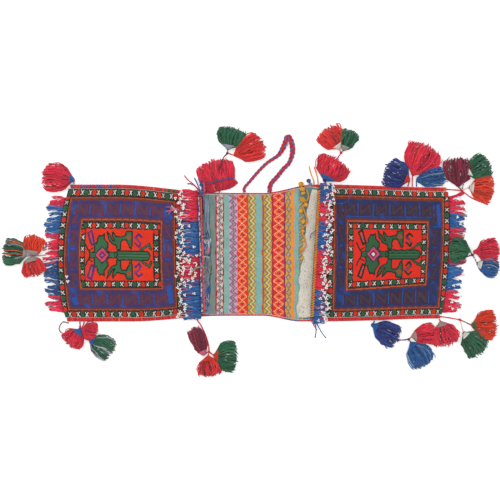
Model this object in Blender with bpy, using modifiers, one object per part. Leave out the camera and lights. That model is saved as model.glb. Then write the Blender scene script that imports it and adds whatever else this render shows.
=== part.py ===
"""A double saddle bag of flat-woven wool, laid flat with its two pouch faces up.

One long strip is folded over at both ends, so that each end makes a pouch with its mouth towards
the middle. Cords bind the two long edges. Fringes, mouth cords, a braided handle loop and
yarn tassels on cords hang from the edges. Units are metres, +X runs along the strip, +Z is up.
The origin is on the underside of the bridge between the pouches.
"""

import math

import bmesh
import bpy
from mathutils import Vector

MM = 0.001

# Strip
weave = 3.0 * MM  # thickness of the cloth
pouch_half = 206.0 * MM  # from the middle to the outside of the edge cord, at a pouch
waist_top = 181.0 * MM  # the same at the bridge, on the +Y side
waist_bottom = 189.0 * MM
right_taper = 9.0 * MM  # how much the right pouch narrows on each side towards its end
left_end = -567.0 * MM  # outer ends of the folded strip, at its corners
left_end_bow = 24.0 * MM
left_end_slant = 5.0 * MM
right_end = 566.5 * MM
right_end_bow = 9.5 * MM
right_end_slant = 9.5 * MM
left_mouth = -160.0 * MM
left_mouth_slant = -5.0 * MM
right_mouth = 175.0 * MM
right_mouth_slant = 10.5 * MM
seam_height = 5.5 * MM  # middle of the face's cloth where it is sewn to the back
pouch_rise = 12.0 * MM  # how far the face swells above its seams
strip_columns = 9
face_rows = 13
fold_rows = 6
back_rows = 36

# Edge cords
pouch_cord_width = 13.0 * MM
pouch_cord_height = 8.4 * MM
bridge_cord_width = 6.0 * MM
bridge_cord_height = 4.2 * MM
edge_cord_sides = 8

# Fringes
strand_depth = 5.0 * MM
ridge = 1.4 * MM
tuft_pitch = 34.0 * MM
left_fringe_length = 66.0 * MM
right_fringe_length = 48.0 * MM
end_fringe_length = 56.0 * MM

# Mouth pieces
mouth_braid_diameter = 8.0 * MM
whipping_diameter = 5.6 * MM
flap_thickness = 2.0 * MM
flap_width = 42.0 * MM
bead_size = 6.0 * MM
bead_pitch = 26.0 * MM

# Cords
handle_diameter = 12.0 * MM
loop_diameter = 5.0 * MM
tassel_cord_diameter = 5.0 * MM

# Tassels
tassel_sides = 8
tassel_height = 20.0 * MM
flat_tassel_height = 15.0 * MM
neck_half = 5.0 * MM
tail_half = 2.0 * MM
hub_half = 4.5 * MM  # the knots on the cords

gap = 0.4 * MM
seam_gap = 0.9 * MM  # between the cloth's side edges and their cords

crimson = (0.64, 0.02, 0.05)
red = (0.68, 0.03, 0.03)
orange = (0.75, 0.06, 0.02)
green = (0.02, 0.15, 0.07)
blue = (0.015, 0.12, 0.38)
navy = (0.025, 0.025, 0.20)
maroon = (0.20, 0.015, 0.04)
yellow = (0.75, 0.35, 0.02)
grey = (0.35, 0.31, 0.28)
cream = (0.58, 0.53, 0.42)
purple = (0.07, 0.06, 0.24)
edge_red = (0.70, 0.05, 0.03)

for old in list(bpy.data.objects):
    bpy.data.objects.remove(old)

parts = bpy.data.collections.new("saddle_bag")
bpy.context.scene.collection.children.link(parts)
guides = bpy.data.collections.new("guides")
bpy.context.scene.collection.children.link(guides)


def smooth(t):
    """0 below 0, 1 above 1, and an S between them."""
    t = min(max(t, 0.0), 1.0)
    return t * t * (3 - 2 * t)


def blend(a, b, t):
    return a + (b - a) * t


def wool(name, colour, roughness=0.9):
    material = bpy.data.materials.new(name + "_wool")
    material.use_nodes = True
    shader = material.node_tree.nodes["Principled BSDF"]
    shader.inputs["Base Color"].default_value = (*colour, 1)
    shader.inputs["Roughness"].default_value = roughness
    shader.inputs["Metallic"].default_value = 0.0
    return material


def add_part(name, data, colour):
    part = bpy.data.objects.new(name, data)
    data.materials.append(wool(name, colour))
    parts.objects.link(part)
    return part


def add_mesh(name, shape, colour):
    mesh = bpy.data.meshes.new(name)
    shape.to_mesh(mesh)
    shape.free()
    mesh.shade_smooth()
    return add_part(name, mesh, colour)


# Outline of the strip, as seen from above


def pinch(x, full_left, free_right, right_stop):
    """0 where the strip has its full width and 1 at the waist."""
    drawn_in = smooth((x - full_left) / (left_mouth * 0.65 - full_left))
    let_out = smooth((x - free_right) / (right_stop - free_right))
    return drawn_in * (1 - let_out)


def taper(x):
    start = right_mouth * 1.15
    return right_taper * smooth((x - start) / (right_end - start))


def top_edge(x):
    draw = pinch(x, left_mouth * 2.6, right_mouth * 0.12, right_mouth)
    return pouch_half - (pouch_half - waist_top) * draw - taper(x)


def bottom_edge(x):
    draw = pinch(x, left_mouth * 2.3, right_mouth * 0.12, right_mouth * 0.76)
    return -pouch_half + (pouch_half - waist_bottom) * draw + taper(x)


def on_pouch(x):
    """1 on the pouches and 0 on the bridge."""
    blend_length = pouch_cord_width * 5
    left = smooth((left_mouth - x) / blend_length + 0.5)
    return max(left, smooth((x - right_mouth) / blend_length + 0.5))


def edge_cord_width(x):
    return blend(bridge_cord_width, pouch_cord_width, on_pouch(x))


def cloth_top(x):
    return top_edge(x) - edge_cord_width(x) - seam_gap


def cloth_bottom(x):
    return bottom_edge(x) + edge_cord_width(x) + seam_gap


def outer_end(side, v):
    """Outermost x of the folded end at v, from -1 at the bottom edge to 1 at the top edge."""
    if side < 0:
        return left_end - left_end_bow * (1 - v * v) + left_end_slant * v
    return right_end + right_end_bow * (1 - v * v) + right_end_slant * v


def mouth_at(side, v):
    if side < 0:
        return left_mouth + left_mouth_slant * v
    return right_mouth + right_mouth_slant * v


def face_middle(u, v):
    """Height of the middle of the face's cloth, with u from 0 at the mouth to 1 at the fold."""
    return seam_height + pouch_rise * (1 - 0.35 * u * u) * (1 - v**4)


def across(x, y):
    """v of the point (x, y) on the cloth."""
    top, bottom = cloth_top(x), cloth_bottom(x)
    return min(max((2 * y - top - bottom) / (top - bottom), -1.0), 1.0)


def face_top(side, x, y):
    """Height of the upper surface of a pouch, over its edge cords too."""
    v = across(x, y)
    u = (x - mouth_at(side, v)) / (outer_end(side, v) - mouth_at(side, v))
    cloth = face_middle(min(max(u, 0.0), 1.0), v) + weave / 2
    beside = smooth((abs(y) - cloth_top(x) + pouch_cord_width) / pouch_cord_width)
    return max(cloth, blend(0, pouch_cord_height + gap, beside))


def on_row(x, v, z):
    return Vector((x, blend(cloth_bottom(x), cloth_top(x), (v + 1) / 2), z))


def fold_point(side, v, angle):
    """Point of the folded end, with angle from -90 degrees on the back to 90 on the face."""
    high = face_middle(1, v)
    radius = (high - weave / 2) / 2
    centre = outer_end(side, v) - side * (radius + weave / 2)
    x = centre + side * radius * math.cos(angle)
    return on_row(x, v, weave / 2 + radius * (1 + math.sin(angle)))


def back_x(v, t):
    """Place along the back, with t from 0 at the left fold to 1 at the right one."""
    first = fold_point(-1, v, -math.pi / 2).x
    last = fold_point(1, v, -math.pi / 2).x
    return blend(first, last, t)


def strip_stations():
    """Functions of v that give the strip's rows, from the left mouth round to the right mouth."""
    rows = []

    def face(side, t):
        def row(v):
            start = mouth_at(side, v)
            x = blend(start, fold_point(side, v, math.pi / 2).x, t)
            return on_row(x, v, face_middle(t, v))

        return row

    def fold(side, angle):
        return lambda v: fold_point(side, v, angle)

    def back(t):
        return lambda v: on_row(back_x(v, t), v, weave / 2)

    rows += [face(-1, i / face_rows) for i in range(face_rows)]
    rows += [fold(-1, math.pi * (0.5 - i / fold_rows)) for i in range(fold_rows)]
    rows += [back(i / back_rows) for i in range(back_rows)]
    rows += [fold(1, math.pi * (i / fold_rows - 0.5)) for i in range(fold_rows)]
    rows += [face(1, 1 - i / face_rows) for i in range(face_rows + 1)]
    return rows


def cloth_sheet(name, rows, columns, thickness, offset, colour):
    """A sheet through the rows, each a function of v from -1 to 1, thickened by Solidify."""
    shape = bmesh.new()
    bmesh.ops.create_grid(shape, x_segments=len(rows) - 1, y_segments=columns, size=1)
    for vert in shape.verts:
        row = rows[round((vert.co.x + 1) / 2 * (len(rows) - 1))]
        vert.co = row(vert.co.y)
    part = add_mesh(name, shape, colour)
    solid = part.modifiers.new("thickness", "SOLIDIFY")
    solid.thickness = thickness
    solid.offset = offset
    return part


cloth_sheet("woven_strip", strip_stations(), strip_columns, weave, 0, (0.30, 0.06, 0.10))


# Cords and tubes


def smooth_route(points, step):
    """Points about step apart on a smooth curve through the given ones."""
    ends = [2 * points[0] - points[1], *points, 2 * points[-1] - points[-2]]
    route = []
    for i in range(1, len(ends) - 2):
        a, b, c, d = ends[i - 1 : i + 3]
        pieces = max(1, round((c - b).length / step))
        for k in range(pieces):
            t = k / pieces
            along = 2 * b + (c - a) * t
            bend = (2 * a - 5 * b + 4 * c - d) * t * t + (3 * b - a - 3 * c + d) * t**3
            route.append((along + bend) / 2)
    route.append(points[-1])
    return route


def cord(name, points, diameter, colour, spacing=2.5):
    """A round cord on a smooth route through the points."""
    route = smooth_route([Vector(p) for p in points], spacing * diameter)
    curve = bpy.data.curves.new(name, "CURVE")
    curve.dimensions = "3D"
    curve.bevel_depth = diameter / 2
    curve.bevel_resolution = 2
    curve.use_fill_caps = True
    spline = curve.splines.new("POLY")
    spline.points.add(len(route) - 1)
    for point, place in zip(spline.points, route, strict=True):
        point.co = (*place, 1)
    return add_part(name, curve, colour)


def closed_tube(name, rings, sides, colour):
    """A closed tube through the rings, each a function of the turn from -pi to pi."""
    shape = bmesh.new()
    bmesh.ops.create_grid(shape, x_segments=len(rings) - 1, y_segments=sides, size=1)
    for vert in shape.verts:
        ring = rings[round((vert.co.x + 1) / 2 * (len(rings) - 1))]
        vert.co = ring(math.pi * vert.co.y)
    bmesh.ops.remove_doubles(shape, verts=shape.verts, dist=0.02 * MM)
    open_edges = [edge for edge in shape.edges if edge.is_boundary]
    bmesh.ops.holes_fill(shape, edges=open_edges, sides=sides)
    bmesh.ops.recalc_face_normals(shape, faces=shape.faces)
    return add_mesh(name, shape, colour)


def oval(centre, across_it, wide, high):
    """An upright oval ring that is wide along across_it and high along Z."""
    up = Vector((0, 0, 1))
    return lambda turn: centre + wide * math.cos(turn) * across_it + high * math.sin(turn) * up


def edge_cord(name, edge, inward, colour):
    """The wrapped cord along one long edge, thick at the pouches and thin at the bridge."""
    first = outer_end(-1, -inward) + pouch_cord_width / 2
    last = outer_end(1, -inward) - pouch_cord_width / 2
    stations = [back_x(-inward, i / back_rows) for i in range(1, back_rows)]
    rings = []
    for x in (first, *stations, last):
        wide = edge_cord_width(x) / 2
        high = blend(bridge_cord_height, pouch_cord_height, on_pouch(x)) / 2
        centre = Vector((x, edge(x) + inward * wide, high + gap / 2))
        rings.append(oval(centre, Vector((0, 1, 0)), wide, high))
    return closed_tube(name, rings, edge_cord_sides, colour)


edge_cord("upper_edge_binding", top_edge, -1, edge_red)
edge_cord("lower_edge_binding", bottom_edge, 1, edge_red)


# Cords along the mouths, which lie on the first few millimetres of each face


def mouth_cord(name, side, diameter, colour, spacing):
    inset = gap + diameter / 2
    points = []
    for v in (-0.97, -0.85, -0.6, -0.3, 0, 0.3, 0.6, 0.85, 0.97):
        x = mouth_at(side, v) + side * inset
        y = on_row(x, v, 0).y
        points.append((x, y, face_top(side, x, y) + inset))
    return cord(name, points, diameter, colour, spacing)


mouth_cord("left_mouth_braid", -1, mouth_braid_diameter, red, 3)
mouth_cord("right_mouth_whipping", 1, whipping_diameter, yellow, 4.5)


# The undyed flap that lies on the bridge in front of the right mouth


def flap_row(t):
    def row(v):
        width = flap_width * (0.35 + 0.65 * smooth(1 - v))
        x = mouth_at(1, v) - 2 * gap - width * (1 - t)
        return on_row(x, 0.97 * v, weave + gap)

    return row


flap_rows = [flap_row(t) for t in (0, 0.5, 1)]
cloth_sheet("cream_mouth_flap", flap_rows, 11, flap_thickness, 1, cream)


# Fringes


def fringe(name, side, under, length, low, high, colour):
    """Tufts side by side from y = low to high. under(y, reach) is a point of their underside."""
    tufts = round((high - low) / tuft_pitch)

    def row(reach):
        def point(v):
            turn = math.pi * tufts * (v + 1)
            end = 0.86 + 0.07 * (1 - math.cos(turn)) + 0.05 * math.sin(2.3 * turn / 7)
            y = blend(low, high, (v + 1) / 2)
            place = under(y, length * reach * blend(1, end, reach))
            place.z += ridge * (1 - math.cos(turn)) / 2 * smooth(reach * 3)
            return place

        return point

    rows = [row(reach) for reach in (0, 0.3, 0.7, 1)]
    return cloth_sheet(name, rows, tufts * 3, strand_depth, side, colour)


def mouth_fringe(name, side, length, cord_beside, colour):
    mouth = left_mouth if side < 0 else right_mouth

    def under(y, reach):
        x = mouth_at(side, across(mouth, y)) + side * (cord_beside + 2 * gap + reach)
        return Vector((x, y, face_top(side, x, y) + gap))

    low = bottom_edge(mouth_at(side, -1)) - strand_depth
    high = top_edge(mouth_at(side, 1)) + strand_depth
    return fringe(name, side, under, length, low, high, colour)


def end_root(v):
    """Height of the underside of an end fringe where it meets the fold."""
    root = (face_middle(1, v) + weave / 2 - strand_depth - ridge) / 2
    return max(root, gap)


def end_fringe(name, side, colour):
    corner = left_end if side < 0 else right_end

    def under(y, reach):
        v = across(corner, y)
        fall = smooth(reach / end_fringe_length)
        x = outer_end(side, v) + side * (gap + reach)
        return Vector((x, y, blend(end_root(v), gap, fall)))

    low, high = -0.86 * pouch_half, 0.82 * pouch_half
    return fringe(name, side, under, end_fringe_length, low, high, colour)


mouth_fringe("left_mouth_fringe", -1, left_fringe_length, mouth_braid_diameter, crimson)
mouth_fringe("right_mouth_fringe", 1, right_fringe_length, whipping_diameter, blue)
end_fringe("left_end_fringe", -1, crimson)
end_fringe("right_end_fringe", 1, blue)


# Rows of white beads beyond the tips of the mouth fringes


def bead_row(name, side, start):
    mouth = left_mouth if side < 0 else right_mouth
    beads = round(1.84 * waist_bottom / bead_pitch)
    rings = []
    for i in range(2 * beads + 1):
        y = (i / beads - 1) * beads * bead_pitch / 2
        x = mouth_at(side, across(mouth, y)) + side * start
        radius = bead_size / 2 if i % 2 else bead_size / 5
        centre = Vector((x, y, face_top(side, x, y) + gap + bead_size / 2))
        rings.append(oval(centre, Vector((1, 0, 0)), radius, radius))
    return closed_tube(name, rings, 6, (0.9, 0.88, 0.84))


bead_row("left_bead_row", -1, mouth_braid_diameter + left_fringe_length + bead_size)
bead_row("right_bead_row", 1, whipping_diameter + right_fringe_length + bead_size)


# Tassels and the cords that hold them


def beside(anchor, dx, dy, z=0):
    """The point dx and dy millimetres from the anchor, z millimetres above the floor."""
    return Vector((anchor.x + dx * MM, anchor.y + dy * MM, z * MM))


def above(x, out=0):
    """The point on the upper edge at x, out millimetres outside it."""
    return Vector((x, top_edge(x) + out * MM, 0))


def below(x, out=0):
    return Vector((x, bottom_edge(x) - out * MM, 0))


def round_ring(centre, along, radius):
    side = Vector((-along.y, along.x, 0)).normalized()
    return oval(centre, side, radius, radius)


def tassel(name, anchor, hang, neck, tip, half, colour, **shape):
    """A flattened bunch of yarn, with its tail from hang to neck and its loose ends at tip."""
    low = shape.get("low", gap)
    height = shape.get("height", tassel_height)
    base = shape.get("base", neck_half)
    start = beside(anchor, *neck)
    along = beside(anchor, *tip) - start
    side = Vector((-along.y, along.x, 0)).normalized()
    half = half * MM
    tail = start - hang
    hang = hang + Vector((0, 0, hub_half + gap))
    steps = (
        (0, 0.75 * base, 0.5),
        (0.1, 1.15 * base, 0.75),
        (0.24, blend(base, half, 0.46), 0.85),
        (0.55, blend(base, half, 0.88), 1),
        (0.86, half, 0.9),
        (1, 0.76 * half, 0.6),
    )

    def ring(t, wide, tall):
        high = tall * height / 2
        centre = start + along * t + Vector((0, 0, low + high))

        def point(turn):
            rounded = 0.04 + 0.03 * math.cos(3 * turn) - 0.1 * math.cos(turn) ** 2
            ragged = rounded * smooth(4 * t - 3)
            return oval(centre + along * ragged, side, wide, high)(turn)

        return point

    rings = [round_ring(hang, tail, tail_half), *(ring(*step) for step in steps)]
    return closed_tube(name, rings, tassel_sides, colour)


def hub_cord(name, points, hub, colour):
    """A thin cord that ends in a round knot at the hub, from which tassels hang."""
    knot = hub + Vector((0, 0, hub_half + gap))
    route = smooth_route([Vector(p) for p in points] + [knot], 4 * tassel_cord_diameter)
    radius = tassel_cord_diameter / 2
    rings = []
    for i, place in enumerate(route[:-1]):
        along = route[i + 1] - route[max(i - 1, 0)]
        rings.append(round_ring(place, along, radius))
    along = (knot - route[-2]).normalized()
    for angle in (-146, -120, -90, -55, -20):
        turn = math.radians(180 + angle)
        place = knot - along * hub_half * math.cos(turn)
        rings.append(round_ring(place, along, hub_half * abs(math.sin(turn))))
    return closed_tube(name, rings, 8, colour)


def from_edge(anchor, dx, neck):
    """Where the tail of a tassel with this neck starts, dx millimetres along the anchor's edge."""
    up = 1 if anchor.y > 0 else -1
    x = anchor.x + dx * MM
    edge_point = above(x) if up > 0 else below(x)
    out = (beside(anchor, *neck) - edge_point).normalized()
    return edge_point + Vector((0, up * (gap + tail_half * abs(out.x)), 0))


def spoke(hub, anchor, neck):
    """Where the tail of a tassel with this neck starts, just outside the hub's knot."""
    out = beside(anchor, *neck) - hub
    return hub + out.normalized() * (hub_half + gap)


lie = (gap + tassel_cord_diameter / 2) / MM  # height of the middle of a cord on the floor

left_middle = Vector((outer_end(-1, 0), 0, 0))
hub = beside(left_middle, -82, -9)
route = [(-38, -6, 10.2), (-50, -7, 9.1), (-66, -8, 5.5)]
hub_cord("left_end_cord", [beside(left_middle, *p) for p in route], hub, grey)
for name, neck, tip, half, colour in (
    ("left_end_green_tassel", (-99, -3), (-165, 6), 31, green),
    ("left_end_orange_tassel", (-84, 8), (-82, 48), 17, orange),
    ("left_end_crimson_tassel", (-92, -25), (-84, -68), 21, crimson),
):
    tassel(name, left_middle, spoke(hub, left_middle, neck), neck, tip, half, colour)

edge = above(left_end + 21 * MM)
neck = (-5, 14)
hang = from_edge(edge, 0, neck)
tassel("top_left_crimson_tassel", edge, hang, neck, (-90, 24), 33, crimson)

edge = below(left_end + 39 * MM)
hub = beside(edge, 1, -16)
hub_cord("low_left_cord", [below(edge.x, 0.6) + Vector((0, 0, lie * MM))], hub, blue)
neck = (-3, -35)
hang = spoke(hub, edge, neck)
tassel("low_left_crimson_tassel", edge, hang, neck, (-33, -67), 22, crimson)
neck = (36, -58)
hang = spoke(hub, edge, neck)
tassel("low_left_green_tassel", edge, hang, neck, (96, -88), 28, green)
neck = (15, -22)
hang = from_edge(edge, 13, neck)
tassel("low_left_small_tassel", edge, hang, neck, (47, -29), 17, crimson)

edge = below(left_mouth - 20 * MM)
hub = beside(edge, 39, -104)
start = below(edge.x + 4 * MM, 0.8) + Vector((0, 0, lie * MM))
route = [(5, -10, lie), (16, -26, lie), (30, -57, lie), (38, -85, lie)]
hub_cord("low_middle_cord", [start, *(beside(edge, *p) for p in route)], hub, red)
for name, neck, tip, half, colour in (
    ("low_middle_maroon_tassel", (22, -107), (-5, -34), 17, maroon),
    ("low_middle_red_tassel", (37, -123), (45, -173), 27, red),
    ("low_middle_green_tassel", (60, -115), (120, -118), 36, green),
):
    tassel(name, edge, spoke(hub, edge, neck), neck, tip, half, colour)

edge = above(left_mouth + 49 * MM)
neck, tip = (2, 12), (-16, 92)
hang = from_edge(edge, 0, neck)
name = "top_middle_crimson_tassel"
wide = 38 * MM
tassel(name, edge, hang, neck, tip, 54, crimson, base=wide, height=flat_tassel_height)
hub = beside(edge, 25, 118)
over = (gap + 0.98 * flat_tassel_height + tassel_cord_diameter / 2) / MM
route = [beside(edge, *p) for p in ((-3, 64, over), (5, 82, over - 0.6), (13, 103, 12.5), (19, 111, 5.5))]
hub_cord("top_middle_cord", route, hub, maroon)
for name, neck, tip, half, colour in (
    ("top_middle_green_tassel", (28, 136), (41, 192), 33, green),
    ("top_middle_red_tassel", (52, 114), (129, 148), 31, red),
):
    tassel(name, edge, spoke(hub, edge, neck), neck, tip, half, colour)

edge = above(right_mouth + 35 * MM)
neck, tip = (0, 19), (31, 73)
hang = from_edge(edge, 0, neck)
tassel("top_right_crimson_tassel", edge, hang, neck, tip, 42, crimson, base=10 * MM)
hub = beside(edge, 45, 94)
route = [beside(edge, 31.3, 73.6, 6), beside(edge, 36, 81, 5)]
hub_cord("top_right_cord", route, hub, purple)
for name, neck, tip, half, colour in (
    ("top_right_red_tassel", (36, 112), (0, 163), 30, red),
    ("top_right_green_tassel", (55, 108), (75, 160), 20, green),
):
    tassel(name, edge, spoke(hub, edge, neck), neck, tip, half, colour)

edge = above(right_end - 101.5 * MM)
for name, dx, neck, tip, half, colour in (
    ("far_right_navy_tassel", -10, (-11, 21), (-75, 49), 34, navy),
    ("far_right_crimson_tassel", 3, (7, 40), (48, 119), 45, crimson),
    ("far_right_blue_tassel", 16, (22, 20), (99, 32), 22, blue),
):
    tassel(name, edge, from_edge(edge, dx, neck), neck, tip, half, colour)

corner = Vector((outer_end(1, 1), top_edge(right_end), 0))
hub = beside(corner, 40, -10)
cord_end = pouch_cord_width / 2 / MM
start = beside(corner, 0.6 - cord_end, -cord_end, lie)
hub_cord("corner_cord", [start, beside(corner, 20, -8, lie)], hub, crimson)
for name, neck, tip, half, colour in (
    ("corner_maroon_tassel", (30, 8), (29, 84), 35, maroon),
    ("corner_green_tassel", (60, 43), (120, 73), 29, green),
    ("corner_orange_tassel", (69, -1), (132, -10), 32, orange),
):
    tassel(name, corner, spoke(hub, corner, neck), neck, tip, half, colour)
start = spoke(hub, corner, (72, -33)) + Vector((0, 0, hub_half + gap))
route = [start, *(beside(corner, *p) for p in ((72, -33, lie), (98, -44, lie), (120, -53, lie)))]
cord("corner_strand", route, tassel_cord_diameter, crimson)

right_middle = Vector((outer_end(1, 0), 0, 0))
hub = beside(right_middle, 73, -6)
route = [(38, -14, 10.8), (50, -13, 9.7), (62, -9, 6.5)]
hub_cord("right_end_cord", [beside(right_middle, *p) for p in route], hub, maroon)
on_fringe = end_root(0) + ridge + strand_depth + gap
for name, neck, tip, half, colour, low in (
    ("right_end_green_tassel", (57, 8), (5, 12), 28, green, on_fringe),
    ("right_end_crimson_tassel", (88, 4), (150, 8), 28, crimson, gap),
    ("right_end_blue_tassel", (93, -34), (147, -51), 20, blue, gap),
):
    hang = spoke(hub, right_middle, neck)
    tassel(name, right_middle, hang, neck, tip, half, colour, low=low)

edge = below(right_end - 212 * MM)
neck = (2, -17)
tassel("low_right_navy_tassel", edge, from_edge(edge, 0, neck), neck, (68, -54), 28, navy)
hub = beside(edge, 103, -56)
route = [beside(edge, 68.5, -54.3, 6), beside(edge, 76, -58, 5), beside(edge, 88, -58, 5)]
hub_cord("low_right_cord", route, hub, maroon)
for name, neck, tip, half, colour in (
    ("low_right_crimson_tassel", (119, -46), (182, -38), 24, crimson),
    ("low_right_blue_tassel", (113, -71), (152, -132), 30, blue),
):
    tassel(name, edge, spoke(hub, edge, neck), neck, tip, half, colour)

corner = Vector((outer_end(1, -1), bottom_edge(right_end), 0))
neck = (-2, -15)
hang = from_edge(corner, -8, neck)
tassel("low_corner_crimson_tassel", corner, hang, neck, (17, -76), 31, crimson)
hub = beside(corner, 54, -3)
start = beside(corner, 0.6 - cord_end, cord_end, lie)
hub_cord("low_corner_cord", [start, beside(corner, 20, 3, lie)], hub, crimson)
for name, neck, tip, half, colour in (
    ("low_corner_orange_tassel", (95, -19), (160, -19), 34, orange),
    ("low_corner_green_tassel", (69, -46), (118, -97), 29, green),
):
    tassel(name, corner, spoke(hub, corner, neck), neck, tip, half, colour)


# The braided handle loop, the closure loops and the two ties at the mouth

handle_foot = Vector((0, top_edge(0), 0))
handle_route = [
    (-35, 14),
    (-18, 34),
    (6, 62),
    (30, 86),
    (51, 101),
    (69, 114),
    (84, 140),
    (95, 168),
    (107, 149),
    (109, 118),
    (99, 89),
    (81, 70),
    (63, 47),
    (47, 30),
    (41, 14),
]
handle_height = gap + handle_diameter / 2
handle_points = [beside(handle_foot, *p, handle_height / MM) for p in handle_route]
lift = Vector((0, 0, handle_height))
handle_points = [above(-35 * MM, 0.9) + lift, *handle_points, above(41 * MM, 0.9) + lift]
cord("handle_loop", handle_points, handle_diameter, red, 1.2)


def closure_point(i):
    v = 0.96 - 0.96 * i / 8
    x = mouth_at(1, v) - flap_width * 0.8 + 8 * MM * math.sin(2.1 * i)
    return on_row(x, v, weave + flap_thickness + 2 * gap + loop_diameter / 2)


closure_points = [closure_point(i) for i in range(9)]
cord("closure_loops", closure_points, loop_diameter, yellow)

tie_x = right_mouth - 30 * MM
for name, foot, points in (
    ("left_tie", 29, ((14, 57, lie), (20, 33, lie), (28, 14, lie))),
    ("right_tie", 41, ((29, 55, lie), (36, 34, lie), (40, 16, lie))),
):
    route = [beside(above(tie_x), *p) for p in points]
    route.append(above(tie_x + foot * MM, 0.6) + Vector((0, 0, lie * MM)))
    cord(name, route, tassel_cord_diameter, yellow)
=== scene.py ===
import math

import bmesh
import bpy
import numpy as np
from mathutils import Matrix, Vector


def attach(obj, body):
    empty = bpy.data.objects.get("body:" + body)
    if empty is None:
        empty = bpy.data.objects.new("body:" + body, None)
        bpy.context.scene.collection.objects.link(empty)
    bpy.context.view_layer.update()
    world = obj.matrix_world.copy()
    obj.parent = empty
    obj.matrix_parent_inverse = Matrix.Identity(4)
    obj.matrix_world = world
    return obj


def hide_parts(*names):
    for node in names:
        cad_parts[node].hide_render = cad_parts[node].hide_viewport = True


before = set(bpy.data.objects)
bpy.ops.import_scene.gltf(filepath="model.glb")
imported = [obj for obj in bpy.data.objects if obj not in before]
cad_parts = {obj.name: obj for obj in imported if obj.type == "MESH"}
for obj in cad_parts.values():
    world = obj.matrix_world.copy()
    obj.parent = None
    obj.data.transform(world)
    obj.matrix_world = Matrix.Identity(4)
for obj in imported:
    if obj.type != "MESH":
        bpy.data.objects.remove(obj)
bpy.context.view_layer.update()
mm = 0.001


# Colours and small helpers


def linear(code):
    # sRGB hex colour to the linear values that the shaders use
    code = code.lstrip("#")
    parts = [int(code[i:i + 2], 16) / 255 for i in (0, 2, 4)]
    return np.array([p / 12.92 if p <= 0.04045 else ((p + 0.055) / 1.055) ** 2.4 for p in parts])


dye = {name: linear(code) for name, code in {
    "ground": "#E8381C", "groundRight": "#E42E20", "selvage": "#DC3428", "charcoal": "#2C2B2C",
    "leaf": "#3B6A47", "leafDark": "#1E3026", "fieldLeft": "#42396A", "fieldRight": "#2E345E",
    "brightBlue": "#2A55A8", "umber": "#63413A", "umberDark": "#45403A", "plumLine": "#8C2E48",
    "guard": "#B4502C", "guardBrown": "#74362E", "white": "#E6E0D6", "teal": "#80A9A1",
    "mustard": "#CB9C33", "apricot": "#EE8838", "rose": "#C99AAF", "stripeRed": "#D9362C",
    "peach": "#F2AC7A", "cream": "#E2DBCC", "bandCream": "#D3BFB2", "dustyBlue": "#7E93A6",
    "slateGreen": "#6C8580",
    "crimsonLine": "#B01F38", "plumGrey": "#77647A", "pinkDye": "#C4508A", "violet": "#55306E",
    "crimson": "#DC2745", "red": "#E13030", "orange": "#DE3A1E", "green": "#286547",
    "royal": "#2560A2", "navy": "#28307E", "deepBlue": "#2A4C82", "maroon": "#7E2540", "yellow": "#E2A122",
    "grey": "#A39A92", "pink": "#DE6A86", "lilac": "#A9A4B8",
    "purpleYarn": "#55509A", "tealYarn": "#3D8A8C", "tealGrey": "#5C8688", "maize": "#E9C566",
}.items()}


def smooth(t):
    t = np.clip(t, 0, 1)
    return t * t * (3 - 2 * t)


def mix(a, b, t):
    return a + (b - a) * t


def setInputs(tree, node, inputs):
    # gives each input, by name or number, its value or the socket that feeds it
    for key, value in inputs.items():
        if isinstance(value, bpy.types.NodeSocket):
            tree.links.new(value, node.inputs[key])
        else:
            node.inputs[key].default_value = value


def addNode(tree, kind, inputs, **settings):
    node = tree.nodes.new(kind)
    for key, value in settings.items():
        setattr(node, key, value)
    setInputs(tree, node, inputs)
    return node


def newMaterial(name, roughness, sheen=0.0, specular=0.2):
    material = bpy.data.materials.new(name)
    material.use_nodes = True
    tree = material.node_tree
    shader = tree.nodes["Principled BSDF"]
    setInputs(tree, shader, {"Roughness": roughness, "Sheen Weight": sheen, "Sheen Roughness": 0.5,
                             "Specular IOR Level": specular})
    return material, tree, shader


def finishPiece(obj, slotName, *nodes):
    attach(obj, "root")
    if nodes:
        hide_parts(*nodes)
    return obj


def linkObject(name, data, material):
    obj = bpy.data.objects.new(name, data)
    bpy.context.scene.collection.objects.link(obj)
    data.materials.clear()
    data.materials.append(material)
    return obj


# Materials


def yarnMaterial():
    # spun wool: the colour of each strand is painted on it, and fibres 1.1 mm apart are fine noise
    material, tree, shader = newMaterial("spun dyed wool", 0.85, 0.25)
    colour = addNode(tree, "ShaderNodeAttribute", {}, attribute_name="yarn").outputs["Color"]
    place = addNode(tree, "ShaderNodeTexCoord", {}).outputs["Object"]
    fibre = addNode(tree, "ShaderNodeTexNoise", {"Vector": place, "Scale": 0.9 / mm, "Detail": 3.0}).outputs["Fac"]
    # the fibre noise also sets the colour: partly uneven fibre tone, partly painted shade where the bump is low
    tint = addNode(tree, "ShaderNodeMapRange", {"Value": fibre, "To Min": 0.72, "To Max": 1.22}).outputs["Result"]
    shade = addNode(tree, "ShaderNodeVectorMath", {"Vector": colour, "Scale": tint}, operation="SCALE")
    bump = addNode(tree, "ShaderNodeBump", {"Strength": 0.5, "Distance": 0.4 * mm, "Height": fibre})
    setInputs(tree, shader, {"Base Color": shade.outputs["Vector"], "Normal": bump.outputs["Normal"]})
    return material


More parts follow.
